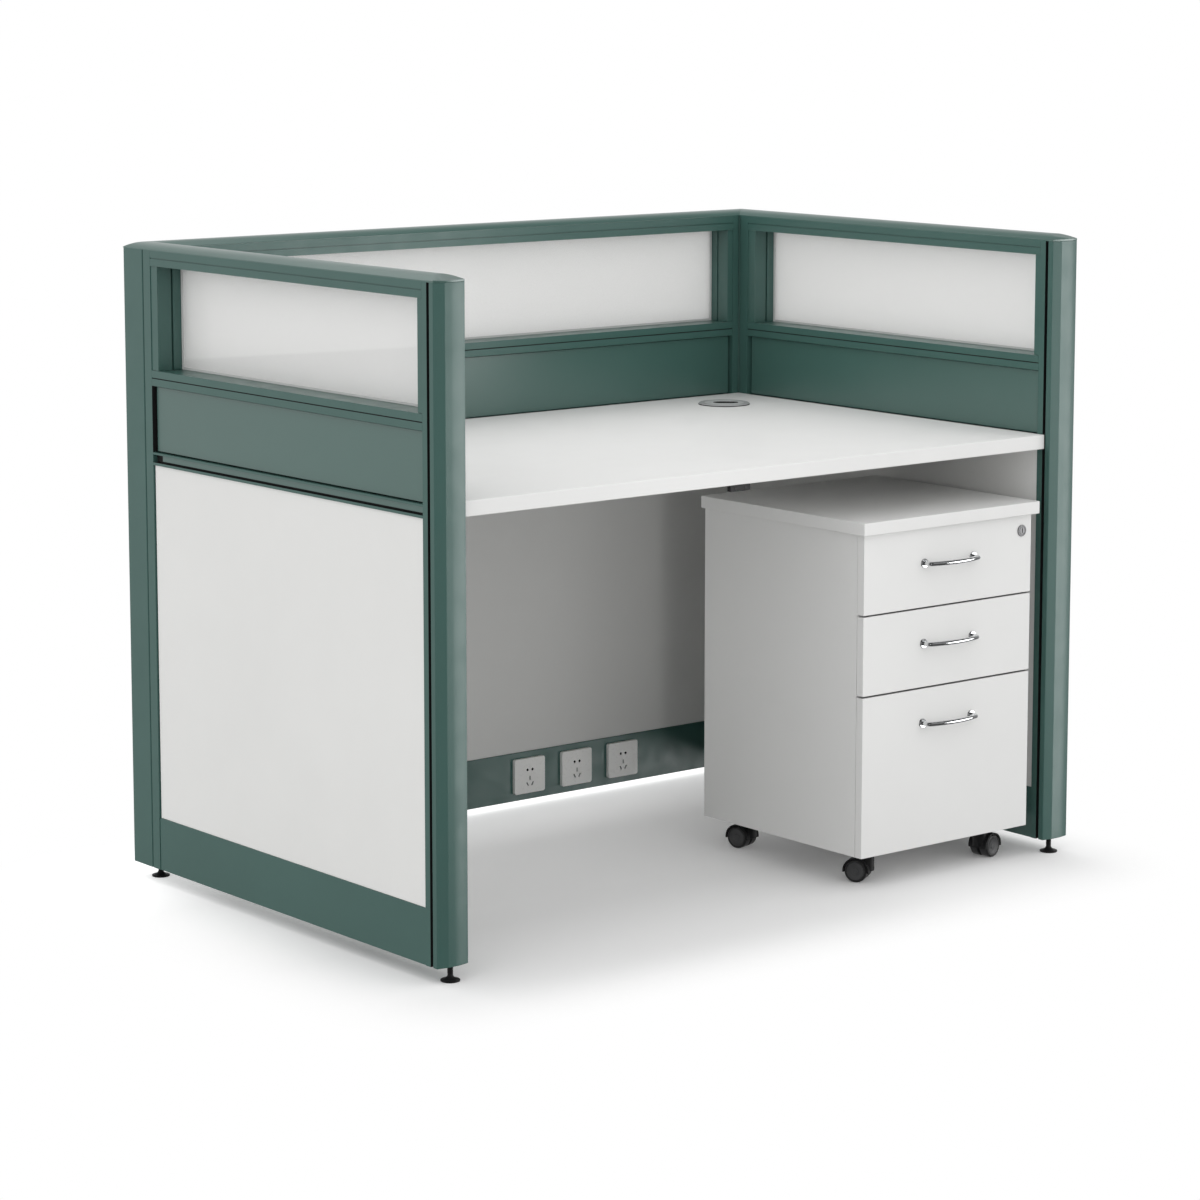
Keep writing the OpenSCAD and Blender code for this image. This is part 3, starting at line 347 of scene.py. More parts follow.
def satin_nickel():
    return finish("satin_nickel", (0.2, 0.2, 0.205), 0.4, spread=0.05, cloud=60.0,
                  grain=1200.0, bump=0.1, bump_depth=0.00002, metallic=0.4)


# Painted shade: a near-black for the gaps, grooves and hollows where little light gets in
def painted_shade():
    return finish("painted_shade", (0.012, 0.012, 0.012), 0.7, spread=0.2, cloud=80.0,
                  grain=2500.0)


# Painted shade, a lighter grey, for the lower pin holes
def pin_shade():
    return finish("pin_shade", (0.3, 0.3, 0.29), 0.6, spread=0.1, cloud=80.0, grain=2500.0)


def glass(name, colour, roughness, share, veil=0.0, lift=None):
    """Glass whose face lets a share through, under a veil that scatters light from both sides.

    The lift is a painted reflection, given as a slope, a height and a factor: the pane is painted
    lighter above that slanting line.
    """
    found = bpy.data.materials.get(name)
    if found:
        return found
    material, shader, add = shader_tree(name)
    place = add("ShaderNodeTexCoord").outputs["Object"]
    etch = add("ShaderNodeTexNoise", {"Vector": place, "Scale": 1800.0,
                                      "Detail": 2.0}).outputs["Fac"]
    clouds = add("ShaderNodeTexNoise", {"Vector": place, "Scale": 3.0,
                                        "Detail": 3.0}).outputs["Fac"]
    tint = mixed(add, clouds, shade(colour, 0.985), shade(colour, 1.015))
    if lift:
        slope, height, factor = lift
        level = add("ShaderNodeVectorMath", {0: place, 1: (0.0, slope, 1.0)},
                    operation="DOT_PRODUCT").outputs["Value"]
        above = ranged(add, level, height - 0.002, height + 0.004, smooth=True)
        tint = mixed(add, above, tint, shade(colour, factor))
    relief = add("ShaderNodeBump", {"Height": etch, "Strength": 0.1, "Distance": 0.00002})
    feed(shader, {
        "Base Color": tint, "Normal": relief.outputs["Normal"],
        "Roughness": ranged(add, etch, 0.0, 1.0, roughness * 0.8, roughness * 1.2),
        "Transmission Weight": share, "IOR": 1.45})
    if veil:
        both = mixed_shaders(add, veil, shader, add("ShaderNodeBsdfTranslucent", {"Color": tint}))
        leave = next(n for n in material.node_tree.nodes if n.type == "OUTPUT_MATERIAL")
        feed(leave, {"Surface": both.outputs[0]})
    return material


def etched_glass():
    return glass("etched_glass", colours().glass, 0.28, 0.14, veil=0.5)


# The left pane: tinted darker than the others, with a painted reflection that makes it lighter above
# a slanting line
def etched_glass_with_painted_reflection():
    return glass("etched_glass_left", shade(colours().glass, 0.94), 0.28, 0.08, veil=0.36,
                 lift=(0.1139, 0.9424, 1.08))


def clear_glass():
    return glass("clear_glass", (0.97, 0.975, 0.97), 0.02, 1.0)


# Making and placing of meshes

def new_piece(name, mesh, *finishes):
    """A shown object at the origin, with its place in its mesh."""
    for material in finishes:
        mesh.materials.append(material)
    piece = bpy.data.objects.new(name, mesh)
    bpy.context.scene.collection.objects.link(piece)
    return piece


def plain_mesh(piece):
    """Leaves the object with its evaluated shape and no modifier."""
    bpy.context.view_layer.update()
    graph = bpy.context.evaluated_depsgraph_get()
    mesh = bpy.data.meshes.new_from_object(piece.evaluated_get(graph))
    mesh.name = piece.name
    old = piece.data
    piece.modifiers.clear()
    piece.data = mesh
    bpy.data.meshes.remove(old)
    return piece


def merged(node):
    """A CAD node's shape with its loose triangles joined and its flat faces whole."""
    mesh = frame["nodes"][node].data.copy()
    for name in ("custom_normal", "UVMap"):
        if mesh.attributes.get(name):
            mesh.attributes.remove(mesh.attributes[name])
    shape = bmesh.new()
    shape.from_mesh(mesh)
    bpy.data.meshes.remove(mesh)
    bmesh.ops.remove_doubles(shape, verts=shape.verts, dist=WELD)
    bmesh.ops.dissolve_limit(shape, angle_limit=math.radians(FLAT), verts=shape.verts,
                             edges=shape.edges)
    return shape


def to_mesh(shape, name):
    mesh = bpy.data.meshes.new(name)
    shape.to_mesh(mesh)
    shape.free()
    return mesh


def round_edges(piece, radius, steps, limit):
    """Rounds the edges that turn by more than the limit and shades the rest smooth."""
    for polygon in piece.data.polygons:
        polygon.use_smooth = True
    piece.data.set_sharp_from_angle(angle=math.radians(limit))
    bevel = piece.modifiers.new("rounding", "BEVEL")
    bevel.width = radius
    bevel.segments = steps
    bevel.limit_method = "ANGLE"
    bevel.angle_limit = math.radians(limit)
    bevel.harden_normals = False
    bevel.use_clamp_overlap = True
    even = piece.modifiers.new("even_shading", "WEIGHTED_NORMAL")
    even.mode = "FACE_AREA"
    even.weight = 100
    even.keep_sharp = False
    return plain_mesh(piece)


def body_of(node):
    return frame["nodes"][node]["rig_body"]


def stand_for(piece, node):
    """The piece rides on the node's body and stands for the node."""
    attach(piece, body_of(node))
    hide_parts(node)


def eased(node, ending, radius, slot, *finishes, shape=None, steps=2, limit=FOLD):
    """Makes a piece with rounded edges that stands for a node, in its shape or the given one."""
    if shape is None:
        shape = merged(node)
    piece = new_piece(f"{node}_{ending}", to_mesh(shape, node), *finishes)
    round_edges(piece, radius, steps, limit)
    stand_for(piece, node)


def mark(faces, test=lambda face: True):
    """Gives the faces, or those that pass a test, their piece's second finish."""
    for face in faces:
        if test(face):
            face.material_index = 1


def islands(shape):
    """The separate solids of a bmesh, each as a list of faces."""
    left, found = dict.fromkeys(shape.faces), []
    while left:
        group = [left.popitem()[0]]
        for face in group:
            for edge in face.edges:
                for neighbour in edge.link_faces:
                    if neighbour in left:
                        del left[neighbour]
                        group.append(neighbour)
        found.append(group)
    return found


def face_box(faces):
    points = [v.co for f in faces for v in f.verts]
    return (Vector([min(p[i] for p in points) for i in range(3)]),
            Vector([max(p[i] for p in points) for i in range(3)]))


def turn(shape, profile, steps, place, finishes=None):
    """Turns a profile of radius and height round the place's Z axis."""
    rings = []
    for radius, height in profile:
        if radius < 1e-7:
            rings.append([shape.verts.new(place @ Vector((0, 0, height)))])
            continue
        rings.append([shape.verts.new(place @ Vector((
            radius * math.cos(2 * math.pi * i / steps),
            radius * math.sin(2 * math.pi * i / steps), height))) for i in range(steps)])
    pairs = list(zip(range(len(rings) - 1), range(1, len(rings))))
    if len(rings[0]) > 1 and len(rings[-1]) > 1:
        pairs.append((len(rings) - 1, 0))
    for a, b in pairs:
        for i in range(steps):
            j = (i + 1) % steps
            corners = [rings[a][i % len(rings[a])], rings[a][j % len(rings[a])],
                       rings[b][j % len(rings[b])], rings[b][i % len(rings[b])]]
            unique = list(dict.fromkeys(corners))
            if len(unique) > 2:
                face = shape.faces.new(unique)
                face.smooth = True
                face.material_index = finishes[a] if finishes else 0


def close_up(shape):
    bmesh.ops.recalc_face_normals(shape, faces=shape.faces)
    return shape


def arc(centre, radius, start, end, steps):
    """Points of an arc in radius and height, angles in degrees."""
    return [(centre[0] + radius * math.cos(math.radians(start + (end - start) * i / steps)),
             centre[1] + radius * math.sin(math.radians(start + (end - start) * i / steps)))
            for i in range(steps + 1)]


def frame_on(origin, normal):
    """A matrix whose Z axis points along the normal and whose Y axis is near upright."""
    z = Vector(normal).normalized()
    x = Vector((0, 0, 1)).cross(z).normalized()
    y = z.cross(x)
    return Matrix(((x.x, y.x, z.x, origin[0]), (x.y, y.y, z.y, origin[1]),
                   (x.z, y.z, z.z, origin[2]), (0, 0, 0, 1)))


# Geometry Nodes

def node_group(name, inputs):
    """A geometry tree's given inputs, its output node, and a function that adds nodes."""
    tree = bpy.data.node_groups.new(name, "GeometryNodeTree")
    tree.interface.new_socket("Geometry", in_out="INPUT", socket_type="NodeSocketGeometry")
    for label, kind, default in inputs:
        socket = tree.interface.new_socket(label, in_out="INPUT", socket_type="NodeSocket" + kind)
        if default is not None:
            socket.default_value = default
    tree.interface.new_socket("Geometry", in_out="OUTPUT", socket_type="NodeSocketGeometry")
    given = tree.nodes.new("NodeGroupInput").outputs
    return tree, given, tree.nodes.new("NodeGroupOutput"), adder(tree)


def hand_out(add, leave, geometry, material):
    """Makes the geometry real and gives it its finish, as the tree's result."""
    real = add("GeometryNodeRealizeInstances", {"Geometry": geometry})
    coated = add("GeometryNodeSetMaterial", {"Geometry": real.outputs["Geometry"],
                                             "Material": material})
    feed(leave, {"Geometry": coated.outputs["Geometry"]})


def grow(piece, tree, values):
    """Runs a tree on an object, its inputs set by identifier, and keeps the plain result."""
    modifier = piece.modifiers.new("made", "NODES")
    modifier.node_group = tree
    sockets = {s.name: s.identifier for s in tree.interface.items_tree
               if s.item_type == "SOCKET" and s.in_out == "INPUT"}
    for label, value in values.items():
        modifier[sockets[label]] = value
    return plain_mesh(piece)


def handle_tree():
    """A bowed bar on two legs with round rosettes, for one drawer."""
    found = bpy.data.node_groups.get("bow_handle")
    if found:
        return found
    tree, given, leave, add = node_group("bow_handle", [
        ("Pitch", "Float", 0.116), ("Reach", "Float", 0.028), ("Rod radius", "Float", 0.004),
        ("Bow radius", "Float", 0.18), ("Bend radius", "Float", 0.012),
        ("Rosette radius", "Float", 0.0085), ("Rosette height", "Float", 0.0022),
        ("Place", "Vector", None), ("Finish", "Material", None)])
    calc = partial(maths, add)
    pitch, bow_radius = given["Pitch"], given["Bow radius"]

    # The line's first and last points are the feet of the legs, and the rest are the bar
    count = 27
    line = add("GeometryNodeMeshLine", {"Count": count})
    index = add("GeometryNodeInputIndex").outputs["Index"]
    share = calc("DIVIDE", calc("SUBTRACT", index, 1.0), float(count - 3))
    share = calc("MINIMUM", calc("MAXIMUM", share, 0.0), 1.0)
    x = calc("MULTIPLY", calc("SUBTRACT", share, 0.5), pitch)
    bow = calc("SQRT", calc("SUBTRACT", calc("MULTIPLY", bow_radius, bow_radius),
                            calc("MULTIPLY", x, x)))
    out = calc("ADD", calc("SUBTRACT", calc("SUBTRACT", given["Reach"], given["Rod radius"]),
                           bow_radius), bow)
    on_bar = calc("MULTIPLY", calc("GREATER_THAN", index, 0.5),
                  calc("LESS_THAN", index, count - 1.5))
    y = calc("MULTIPLY", calc("MULTIPLY", out, on_bar), -1.0)
    spot = add("ShaderNodeCombineXYZ", {"X": x, "Y": y}).outputs["Vector"]
    path = add("GeometryNodeSetPosition", {"Geometry": line.outputs["Mesh"], "Position": spot})
    curve = add("GeometryNodeMeshToCurve", {"Mesh": path.outputs["Geometry"]})
    bent = add("GeometryNodeFilletCurve", {"Curve": curve.outputs["Curve"],
                                           "Radius": given["Bend radius"]}, mode="POLY")
    feed(bent, {"Count": 10, "Limit Radius": True})
    ring = add("GeometryNodeCurvePrimitiveCircle", {"Radius": given["Rod radius"],
                                                    "Resolution": 24})
    rod = add("GeometryNodeCurveToMesh", {"Curve": bent.outputs["Curve"],
                                          "Profile Curve": ring.outputs["Curve"],
                                          "Fill Caps": True})
    parts = [rod.outputs["Mesh"]]
    for side in (-0.5, 0.5):
        disc = add("GeometryNodeMeshCone", {
            "Radius Top": calc("MULTIPLY", given["Rosette radius"], 0.86),
            "Radius Bottom": given["Rosette radius"], "Depth": given["Rosette height"],
            "Vertices": 48})
        at = add("ShaderNodeCombineXYZ", {"X": calc("MULTIPLY", pitch, side)})
        moved = add("GeometryNodeTransform", {
            "Geometry": disc.outputs["Mesh"], "Translation": at.outputs["Vector"],
            "Rotation": (math.radians(90), 0.0, 0.0)})
        parts.append(moved.outputs["Geometry"])
    joined = add("GeometryNodeJoinGeometry")
    for part in reversed(parts):
        feed(joined, {"Geometry": part})
    placed = add("GeometryNodeTransform", {"Geometry": joined.outputs["Geometry"],
                                           "Translation": given["Place"]})
    smooth = add("GeometryNodeSetShadeSmooth", {"Geometry": placed.outputs["Geometry"]})
    hand_out(add, leave, smooth.outputs["Geometry"], given["Finish"])
    return tree


def thread_tree():
    """Winds a thread round the stem of a levelling foot and joins it to the foot."""
    found = bpy.data.node_groups.get("foot_thread")
    if found:
        return found
    tree, given, leave, add = node_group("foot_thread", [
        ("Radius", "Float", 0.0044), ("Pitch", "Float", 0.0015), ("Turns", "Float", 20.0),
        ("Tooth", "Float", 0.0004), ("Start", "Vector", None), ("Finish", "Material", None)])
    spiral = add("GeometryNodeCurveSpiral", {
        "Rotations": given["Turns"], "Start Radius": given["Radius"],
        "End Radius": given["Radius"], "Resolution": 20,
        "Height": maths(add, "MULTIPLY", given["Pitch"], given["Turns"])})
    tooth = add("GeometryNodeCurvePrimitiveCircle", {"Radius": given["Tooth"], "Resolution": 4})
    wound = add("GeometryNodeCurveToMesh", {"Curve": spiral.outputs["Curve"],
                                            "Profile Curve": tooth.outputs["Curve"],
                                            "Fill Caps": True})
    placed = add("GeometryNodeTransform", {"Geometry": wound.outputs["Mesh"],
                                           "Translation": given["Start"]})
    joined = add("GeometryNodeJoinGeometry", {"Geometry": placed.outputs["Geometry"]})
    feed(joined, {"Geometry": given["Geometry"]})
    hand_out(add, leave, joined.outputs["Geometry"], given["Finish"])
    return tree


def screw_tree():
    """Puts a cross-recessed screw head on every point, turned along the point's facing."""
    found = bpy.data.node_groups.get("screw_heads")
    if found:
        return found
    tree, given, leave, add = node_group("screw_heads", [
        ("Head radius", "Float", 0.004), ("Head height", "Float", 0.0016),
        ("Recess", "Float", 0.001), ("Finish", "Material", None)])
    times = partial(maths, add, "MULTIPLY")
    radius, height = given["Head radius"], given["Head height"]
    head = add("GeometryNodeMeshCone", {"Radius Top": times(radius, 0.72),
                                        "Radius Bottom": radius, "Depth": height,
                                        "Vertices": 28})
    long, deep = times(radius, 1.15), times(height, 1.2)
    carved = add("GeometryNodeMeshBoolean", {"Mesh 1": head.outputs["Mesh"]},
                 operation="DIFFERENCE")
    for x, y in ((long, given["Recess"]), (given["Recess"], long)):
        size = add("ShaderNodeCombineXYZ", {"X": x, "Y": y, "Z": deep})
        box = add("GeometryNodeMeshCube", {"Size": size.outputs["Vector"]})
        lift = add("ShaderNodeCombineXYZ", {"Z": times(height, 1.1)})
        cut = add("GeometryNodeTransform", {"Geometry": box.outputs["Mesh"],
                                            "Translation": lift.outputs["Vector"]})
        feed(carved, {"Mesh 2": cut.outputs["Geometry"]})
    facing = add("GeometryNodeInputNamedAttribute", {"Name": "facing"}, data_type="FLOAT_VECTOR")
    aim = add("FunctionNodeAlignEulerToVector", {"Vector": facing.outputs["Attribute"]}, axis="Z")
    spread = add("GeometryNodeInstanceOnPoints", {
        "Points": given["Geometry"], "Instance": carved.outputs["Mesh"],
        "Rotation": aim.outputs["Rotation"]})
    hand_out(add, leave, spread.outputs["Instances"], given["Finish"])
    return tree


def screws(name, body, material, places, radius=0.004, height=0.0016):
    """Screw heads at places, each given with the direction that it faces."""
    mesh = bpy.data.meshes.new(name)
    mesh.from_pydata([tuple(p) for p, _ in places], [], [])
    facing = mesh.attributes.new("facing", "FLOAT_VECTOR", "POINT")
    for i, (_, direction) in enumerate(places):
        facing.data[i].vector = direction
    piece = new_piece(name, mesh, material)
    grow(piece, screw_tree(), {"Head radius": radius, "Head height": height,
                               "Recess": radius * 0.26, "Finish": material})
    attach(piece, body)
    return piece


# Operators

class Undoable:
    """What the operators share: a user can undo them"""
    bl_options = {"REGISTER", "UNDO"}


class WORKSTATION_OT_frames(Undoable, bpy.types.Operator):
    """Panel frames of powder-coated aluminium profiles, with painted shade in the gaps between the
    pieces
    """
    bl_idname = "workstation.frames"
    bl_label = "Panel frames"

    def execute(self, context):
        edge = context.scene.workstation_sizes.profile_edge
        for side in SIDES:
            node = f"{side}_frame"
            shape = merged(node)
            for level in FASCIA_BAND:
                everything = shape.verts[:] + shape.edges[:] + shape.faces[:]
                bmesh.ops.bisect_plane(shape, geom=everything, plane_co=(0, 0, level),
                                       plane_no=(0, 0, 1))
            shape.normal_update()
            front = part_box(node)[0].y
            # Faces in the gaps between the pieces get painted shade
            mark(shape.faces, lambda face: self.gets_painted_shade(face, side, front))
            eased(node, "profiles", edge, "green_metal", powder_coat(), painted_shade(),
                  shape=shape)
        return {"FINISHED"}

    def gets_painted_shade(self, face, side, front):
        """Whether the face lies between fitted pieces, where little light gets in, and so gets
        painted shade.
        """
        low, high = face_box([face])
        outward = OUTWARD[side]
        faces_front = side != "back" and face.normal.y < -ALONG
        behind_fascias = (low.z > FASCIA_BAND[0] - BAND_MARGIN
                          and high.z < FASCIA_BAND[1] + BAND_MARGIN)
        front_end = faces_front and high.y < front + NEAR
        beam = (behind_fascias and face.normal.dot(outward) > ALONG
                and max(abs(low.x), abs(high.x)) < BEAM_REACH[0] and high.y < BEAM_REACH[1])
        channel = low.z > RAIL_CHANNEL[0] and high.z < RAIL_CHANNEL[1]
        groove = low.z > SILL_GROOVE[0] and high.z < SILL_GROOVE[1]
        beside_fascias = (behind_fascias and faces_front and low.y > STILE_START[1]
                          and low.x * outward.x > STILE_START[0])
        return front_end or beam or channel or groove or beside_fascias


class WORKSTATION_OT_caps(Undoable, bpy.types.Operator):
    """Arched top caps with mitred corners"""
    bl_idname = "workstation.caps"
    bl_label = "Top caps"

    def execute(self, context):
        for side in SIDES:
            eased(f"{side}_cap", "arch", context.scene.workstation_sizes.profile_edge,
                  "green_metal", sheet_coat())
        return {"FINISHED"}


class WORKSTATION_OT_windows(Undoable, bpy.types.Operator):
    """Frosted panes and the rubber gaskets that hold them"""
    bl_idname = "workstation.windows"
    bl_label = "Windows"

    def execute(self, context):
        for side in SIDES:
            across = 1 if side == "back" else 0
            shape = merged(f"{side}_glass")
            mark(shape.faces, lambda face: face.normal[across] > ALONG)
            # The left pane carries a painted reflection
            etched = etched_glass_with_painted_reflection() if side == "left" else etched_glass()
            eased(f"{side}_glass", "pane", TURNED_EDGE, "frosted_glass", etched, clear_glass(),
                  shape=shape)
        eased("glazing_gaskets", "seals", SOFT_EDGE, "pale_rubber", gasket_rubber())
        return {"FINISHED"}


class WORKSTATION_OT_fascias(Undoable, bpy.types.Operator):
    """Folded fascias at desk level, with a shadow line along their top"""
    bl_idname = "workstation.fascias"
    bl_label = "Fascias"

    def execute(self, context):
        shadow_line = 0.0018
        for side in SIDES:
            node = f"{side}_fascias"
            shape = merged(node)
            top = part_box(node)[1].z
            for vertex in shape.verts:
                if vertex.co.z > top - NEAR:
                    vertex.co.z = top - shadow_line
            eased(node, "sheets", context.scene.workstation_sizes.profile_edge, "green_metal",
                  sheet_coat(), shape=shape)
        return {"FINISHED"}


class WORKSTATION_OT_tiles(Undoable, bpy.types.Operator):
    """Laminated tiles on both faces of the panels"""
    bl_idname = "workstation.tiles"
    bl_label = "Tiles"

    def execute(self, context):
        for side in SIDES:
            eased(f"{side}_tiles", "boards", context.scene.workstation_sizes.board_edge,
                  "tile_board", tile_laminate())
        return {"FINISHED"}


class WORKSTATION_OT_kick_covers(Undoable, bpy.types.Operator):
    """Folded covers of the cable raceway"""
    bl_idname = "workstation.kick_covers"
    bl_label = "Kick covers"

    def execute(self, context):
        for side in SIDES:
            eased(f"{side}_kick_covers", "sheets", context.scene.workstation_sizes.profile_edge,
                  "green_metal", powder_coat())
        return {"FINISHED"}


class WORKSTATION_OT_posts(Undoable, bpy.types.Operator):
    """Corner posts, end posts with their covers, and the bolts that join them"""
    bl_idname = "workstation.posts"
    bl_label = "Posts"

    def execute(self, context):
        sizes = context.scene.workstation_sizes
        neck_depth = 0.0062
        for side in ("left", "right"):
            eased(f"{side}_corner_post", "profile", sizes.profile_edge, "green_metal",
                  powder_coat())
            node = f"{side}_end_post"
            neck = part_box(node)[1].y - neck_depth
            shape = merged(node)
            # The end post's neck, in the groove beside its cover, gets painted shade
            mark(shape.faces, lambda face: min(v.co.y for v in face.verts) > neck)
            eased(node, "profile", sizes.profile_edge, "green_metal", powder_coat(),
                  painted_shade(), shape=shape)
        eased("end_covers", "sheets", sizes.cover_edge, "green_metal", powder_coat(),
              shape=self.covers(), steps=3, limit=9.0)
        eased("post_bolts", "turned", TURNED_EDGE, "zinc_steel", zinc_steel())
        return {"FINISHED"}

    def covers(self):
        """The end covers' shape, with a soft curve along the right fold of each front."""
        shoulder, curve, shortest = 0.019, 0.0105, 0.1
        folds = [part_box(f"{side}_frame")[1].x - shoulder for side in ("left", "right")]
        shape = merged("end_covers")
        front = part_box("end_covers")[0].y + NEAR

        def on_fold(vertex):
            return vertex.co.y < front and any(abs(vertex.co.x - x) < NEAR for x in folds)

        soft = [edge for edge in shape.edges
                if edge.calc_length() > shortest and all(on_fold(v) for v in edge.verts)]
        bmesh.ops.bevel(shape, geom=soft, offset=curve, segments=5, profile=0.5,
                        affect="EDGES")
        return shape


class WORKSTATION_OT_feet(Undoable, bpy.types.Operator):
    """Levelling feet with a flared pad and a threaded stem"""
    bl_idname = "workstation.feet"
    bl_label = "Levelling feet"

    def execute(self, context):
        sizes = context.scene.workstation_sizes
        core, rim, flare, pad = 0.0043, 0.003, 0.008, 0.0155
        for corner in CORNERS:
            node = f"{corner}_foot"
            low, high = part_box(node)
            x, y = (low.x + high.x) / 2, (low.y + high.y) / 2
            profile = [(0, 0), (pad - 0.0008, 0), (pad - 0.0002, 0.0002), (pad, 0.0008),
                       (pad, rim - 0.0006)]
            profile += [(core + (pad - core) * (1 - math.sin(t)), rim + flare * (1 - math.cos(t)))
                        for t in (math.radians(6 + 84 * i / 12) for i in range(13))]
            profile += [(core, high.z - 0.001), (core - 0.001, high.z), (0, high.z)]
            shape = bmesh.new()
            turn(shape, profile, sizes.turning_steps, Matrix.Translation((x, y, 0)))
            piece = new_piece(f"{node}_turned", to_mesh(close_up(shape), node), black_plastic())
            start = rim + flare + 0.001
            grow(piece, thread_tree(), {
                "Radius": core + 0.00005, "Pitch": sizes.thread_pitch, "Tooth": 0.00042,
                "Turns": (high.z - 0.002 - start) / sizes.thread_pitch,
                "Start": (x, y, start), "Finish": black_plastic()})
            stand_for(piece, node)
        return {"FINISHED"}


class WORKSTATION_OT_desktop(Undoable, bpy.types.Operator):
    """Desktop board with soft edge banding"""
    bl_idname = "workstation.desktop"
    bl_label = "Desktop"

    def execute(self, context):
        eased("desktop", "board", context.scene.workstation_sizes.top_edge, "white_board",
              melamine(), steps=3)
        return {"FINISHED"}


class WORKSTATION_OT_grommet(Undoable, bpy.types.Operator):
    """Cable grommet's ring and its turning lid, with painted shade on the ring's outer wall and the
    slot wall, and a dark seal round the cable slot
    """
    bl_idname = "workstation.grommet"
    bl_label = "Cable grommet"

    def execute(self, context):
        low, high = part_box("grommet_ring")
        middle, radius = (low + high) / 2, (high.x - low.x) / 2
        flange, margin = 0.004, 0.001

        def outer_wall(face):
            spot = face.calc_center_median()
            return (abs(face.normal.z) < ACROSS and spot.z > high.z - flange
                    and (spot - middle).xy.length > radius - margin)

        shape = merged("grommet_ring")
        # The ring's outer wall gets painted shade, a dark outline round the flange
        mark(shape.faces, outer_wall)
        eased("grommet_ring", "moulding", SOFT_EDGE, "grommet_plastic", grommet_plastic(),
              painted_shade(), shape=shape, steps=3)
        eased("grommet_lid", "moulding", FINE_EDGE, "grommet_plastic", lid_plastic(),
              painted_shade(), shape=self.lid())
        return {"FINISHED"}

    def lid(self):
        """The lid's shape, with painted shade on the slot wall and a seal round the slot."""
        shape = merged("grommet_lid")
        low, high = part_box("grommet_lid")
        middle = (low + high) / 2
        sheet, margin = 0.0015, 0.002
        inside = (high.x - low.x) / 2 - margin
        rim = {}
        for face in shape.faces:
            reach = face.calc_center_median() - middle
            if abs(face.normal.z) < ACROSS and reach.xy.length < inside:
                face.material_index = 1
                rim.update(dict.fromkeys(v for v in face.verts if v.co.z > high.z - sheet))
        self.seal(shape, [v.co.copy() for v in rim], middle, high.z)
        return shape

    def seal(self, shape, rim, middle, top, width=0.0034, height=0.0004, depth=0.0003):
        """A flat rubber lip on the lid, round the slot whose corners are given, in the painted
        shade's near-black: partly a dark lip, partly painted shade for the slot.
        """
        rim.sort(key=lambda p: math.atan2(p.y - middle.y, p.x - middle.x))
        rings = [[], [], [], []]
        for before, here, after in zip(rim[-1:] + rim[:-1], rim, rim[1:] + rim[:1]):
            along = (after - before).normalized()
            out = Vector((along.y, -along.x, 0)) * width
            for ring, push, level in zip(rings, (0, 1, 1, 0), (height, height, -depth, -depth)):
                at = here + out * push
                ring.append(shape.verts.new((at.x, at.y, top + level)))
        for a, b in zip(rings, rings[1:] + rings[:1]):
            for i in range(len(rim)):
                j = (i + 1) % len(rim)
                face = shape.faces.new((a[i], a[j], b[j], b[i]))
                face.material_index = 1
        close_up(shape)


class WORKSTATION_OT_brackets(Undoable, bpy.types.Operator):
    """Angle brackets and clip under the desktop, with their screws"""
    bl_idname = "workstation.brackets"
    bl_label = "Desk brackets"

    def execute(self, context):
        shape = merged("desk_brackets")
        underside = 0.0027
        places = []
        for faces in islands(shape):
            low, high = face_box(faces)
            middle = (low + high) / 2
            lengthwise = 0 if high.x - low.x > high.y - low.y else 1
            for share in (0.15, 0.5, 0.85):
                spot = Vector((middle.x, middle.y, high.z - underside))
                spot[lengthwise] = low.lerp(high, share)[lengthwise]
                places.append((spot, (0, 0, -1)))
        eased("desk_brackets", "pressed", PRESSED_EDGE, "black_steel", black_steel(), shape=shape)
        screws("bracket_screws", "workstation", zinc_steel(), places)
        self.clip()
        return {"FINISHED"}

    def clip(self):
        """A folded angle under the desktop's front edge, with two small screws."""
        low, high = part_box("edge_clip")
        leg, sheet, set_back = 0.008, 0.0025, 0.0006
        front, middle = low.y + set_back, (low + high) / 2
        section = [(front, low.z), (front + leg, low.z), (front + leg, high.z - sheet),
                   (high.y, high.z - sheet), (high.y, high.z), (front, high.z)]
        shape = bmesh.new()
        ends = [[shape.verts.new((x, y, z)) for y, z in section] for x in (low.x, high.x)]
        for end in ends:
            shape.faces.new(end)
        for k in range(len(section)):
            after = (k + 1) % len(section)
            shape.faces.new((ends[0][k], ends[0][after], ends[1][after], ends[1][k]))
        eased("edge_clip", "moulding", PRESSED_EDGE, "black_plastic", black_plastic(),
              shape=close_up(shape))
        quarter = (high.x - low.x) / 4
        screws("clip_screws", body_of("edge_clip"), black_steel(),
               [((middle.x + quarter * side, front, middle.z), (0, -1, 0)) for side in (-1, 1)],
               radius=0.0018, height=0.0006)


class WORKSTATION_OT_sockets(Undoable, bpy.types.Operator):
    """Socket plates on the back panel's inner kick cover"""
    bl_idname = "workstation.sockets"
    bl_label = "Socket plates"

    def execute(self, context):
        half_width, half_height, low_pins = 0.02, 0.024, 0.004
        shape = merged("sockets")
        for faces in islands(shape):
            low, high = face_box(faces)
            middle = (low + high) / 2
            for face in faces:
                spot = face.calc_center_median()
                if (abs(spot.x - middle.x) < half_width and abs(spot.z - middle.z) < half_height
                        and low.y + NEAR < spot.y and face.normal.y < ACROSS):
                    # Pin holes get painted shade: near-black for the upper pins, a lighter grey for
                    # the lower ones
                    face.material_index = 1 if spot.z > middle.z + low_pins else 2
        eased("sockets", "moulding", PLATE_EDGE, "socket_plastic", socket_plastic(), painted_shade(),
              pin_shade(), shape=shape, steps=3)
        return {"FINISHED"}


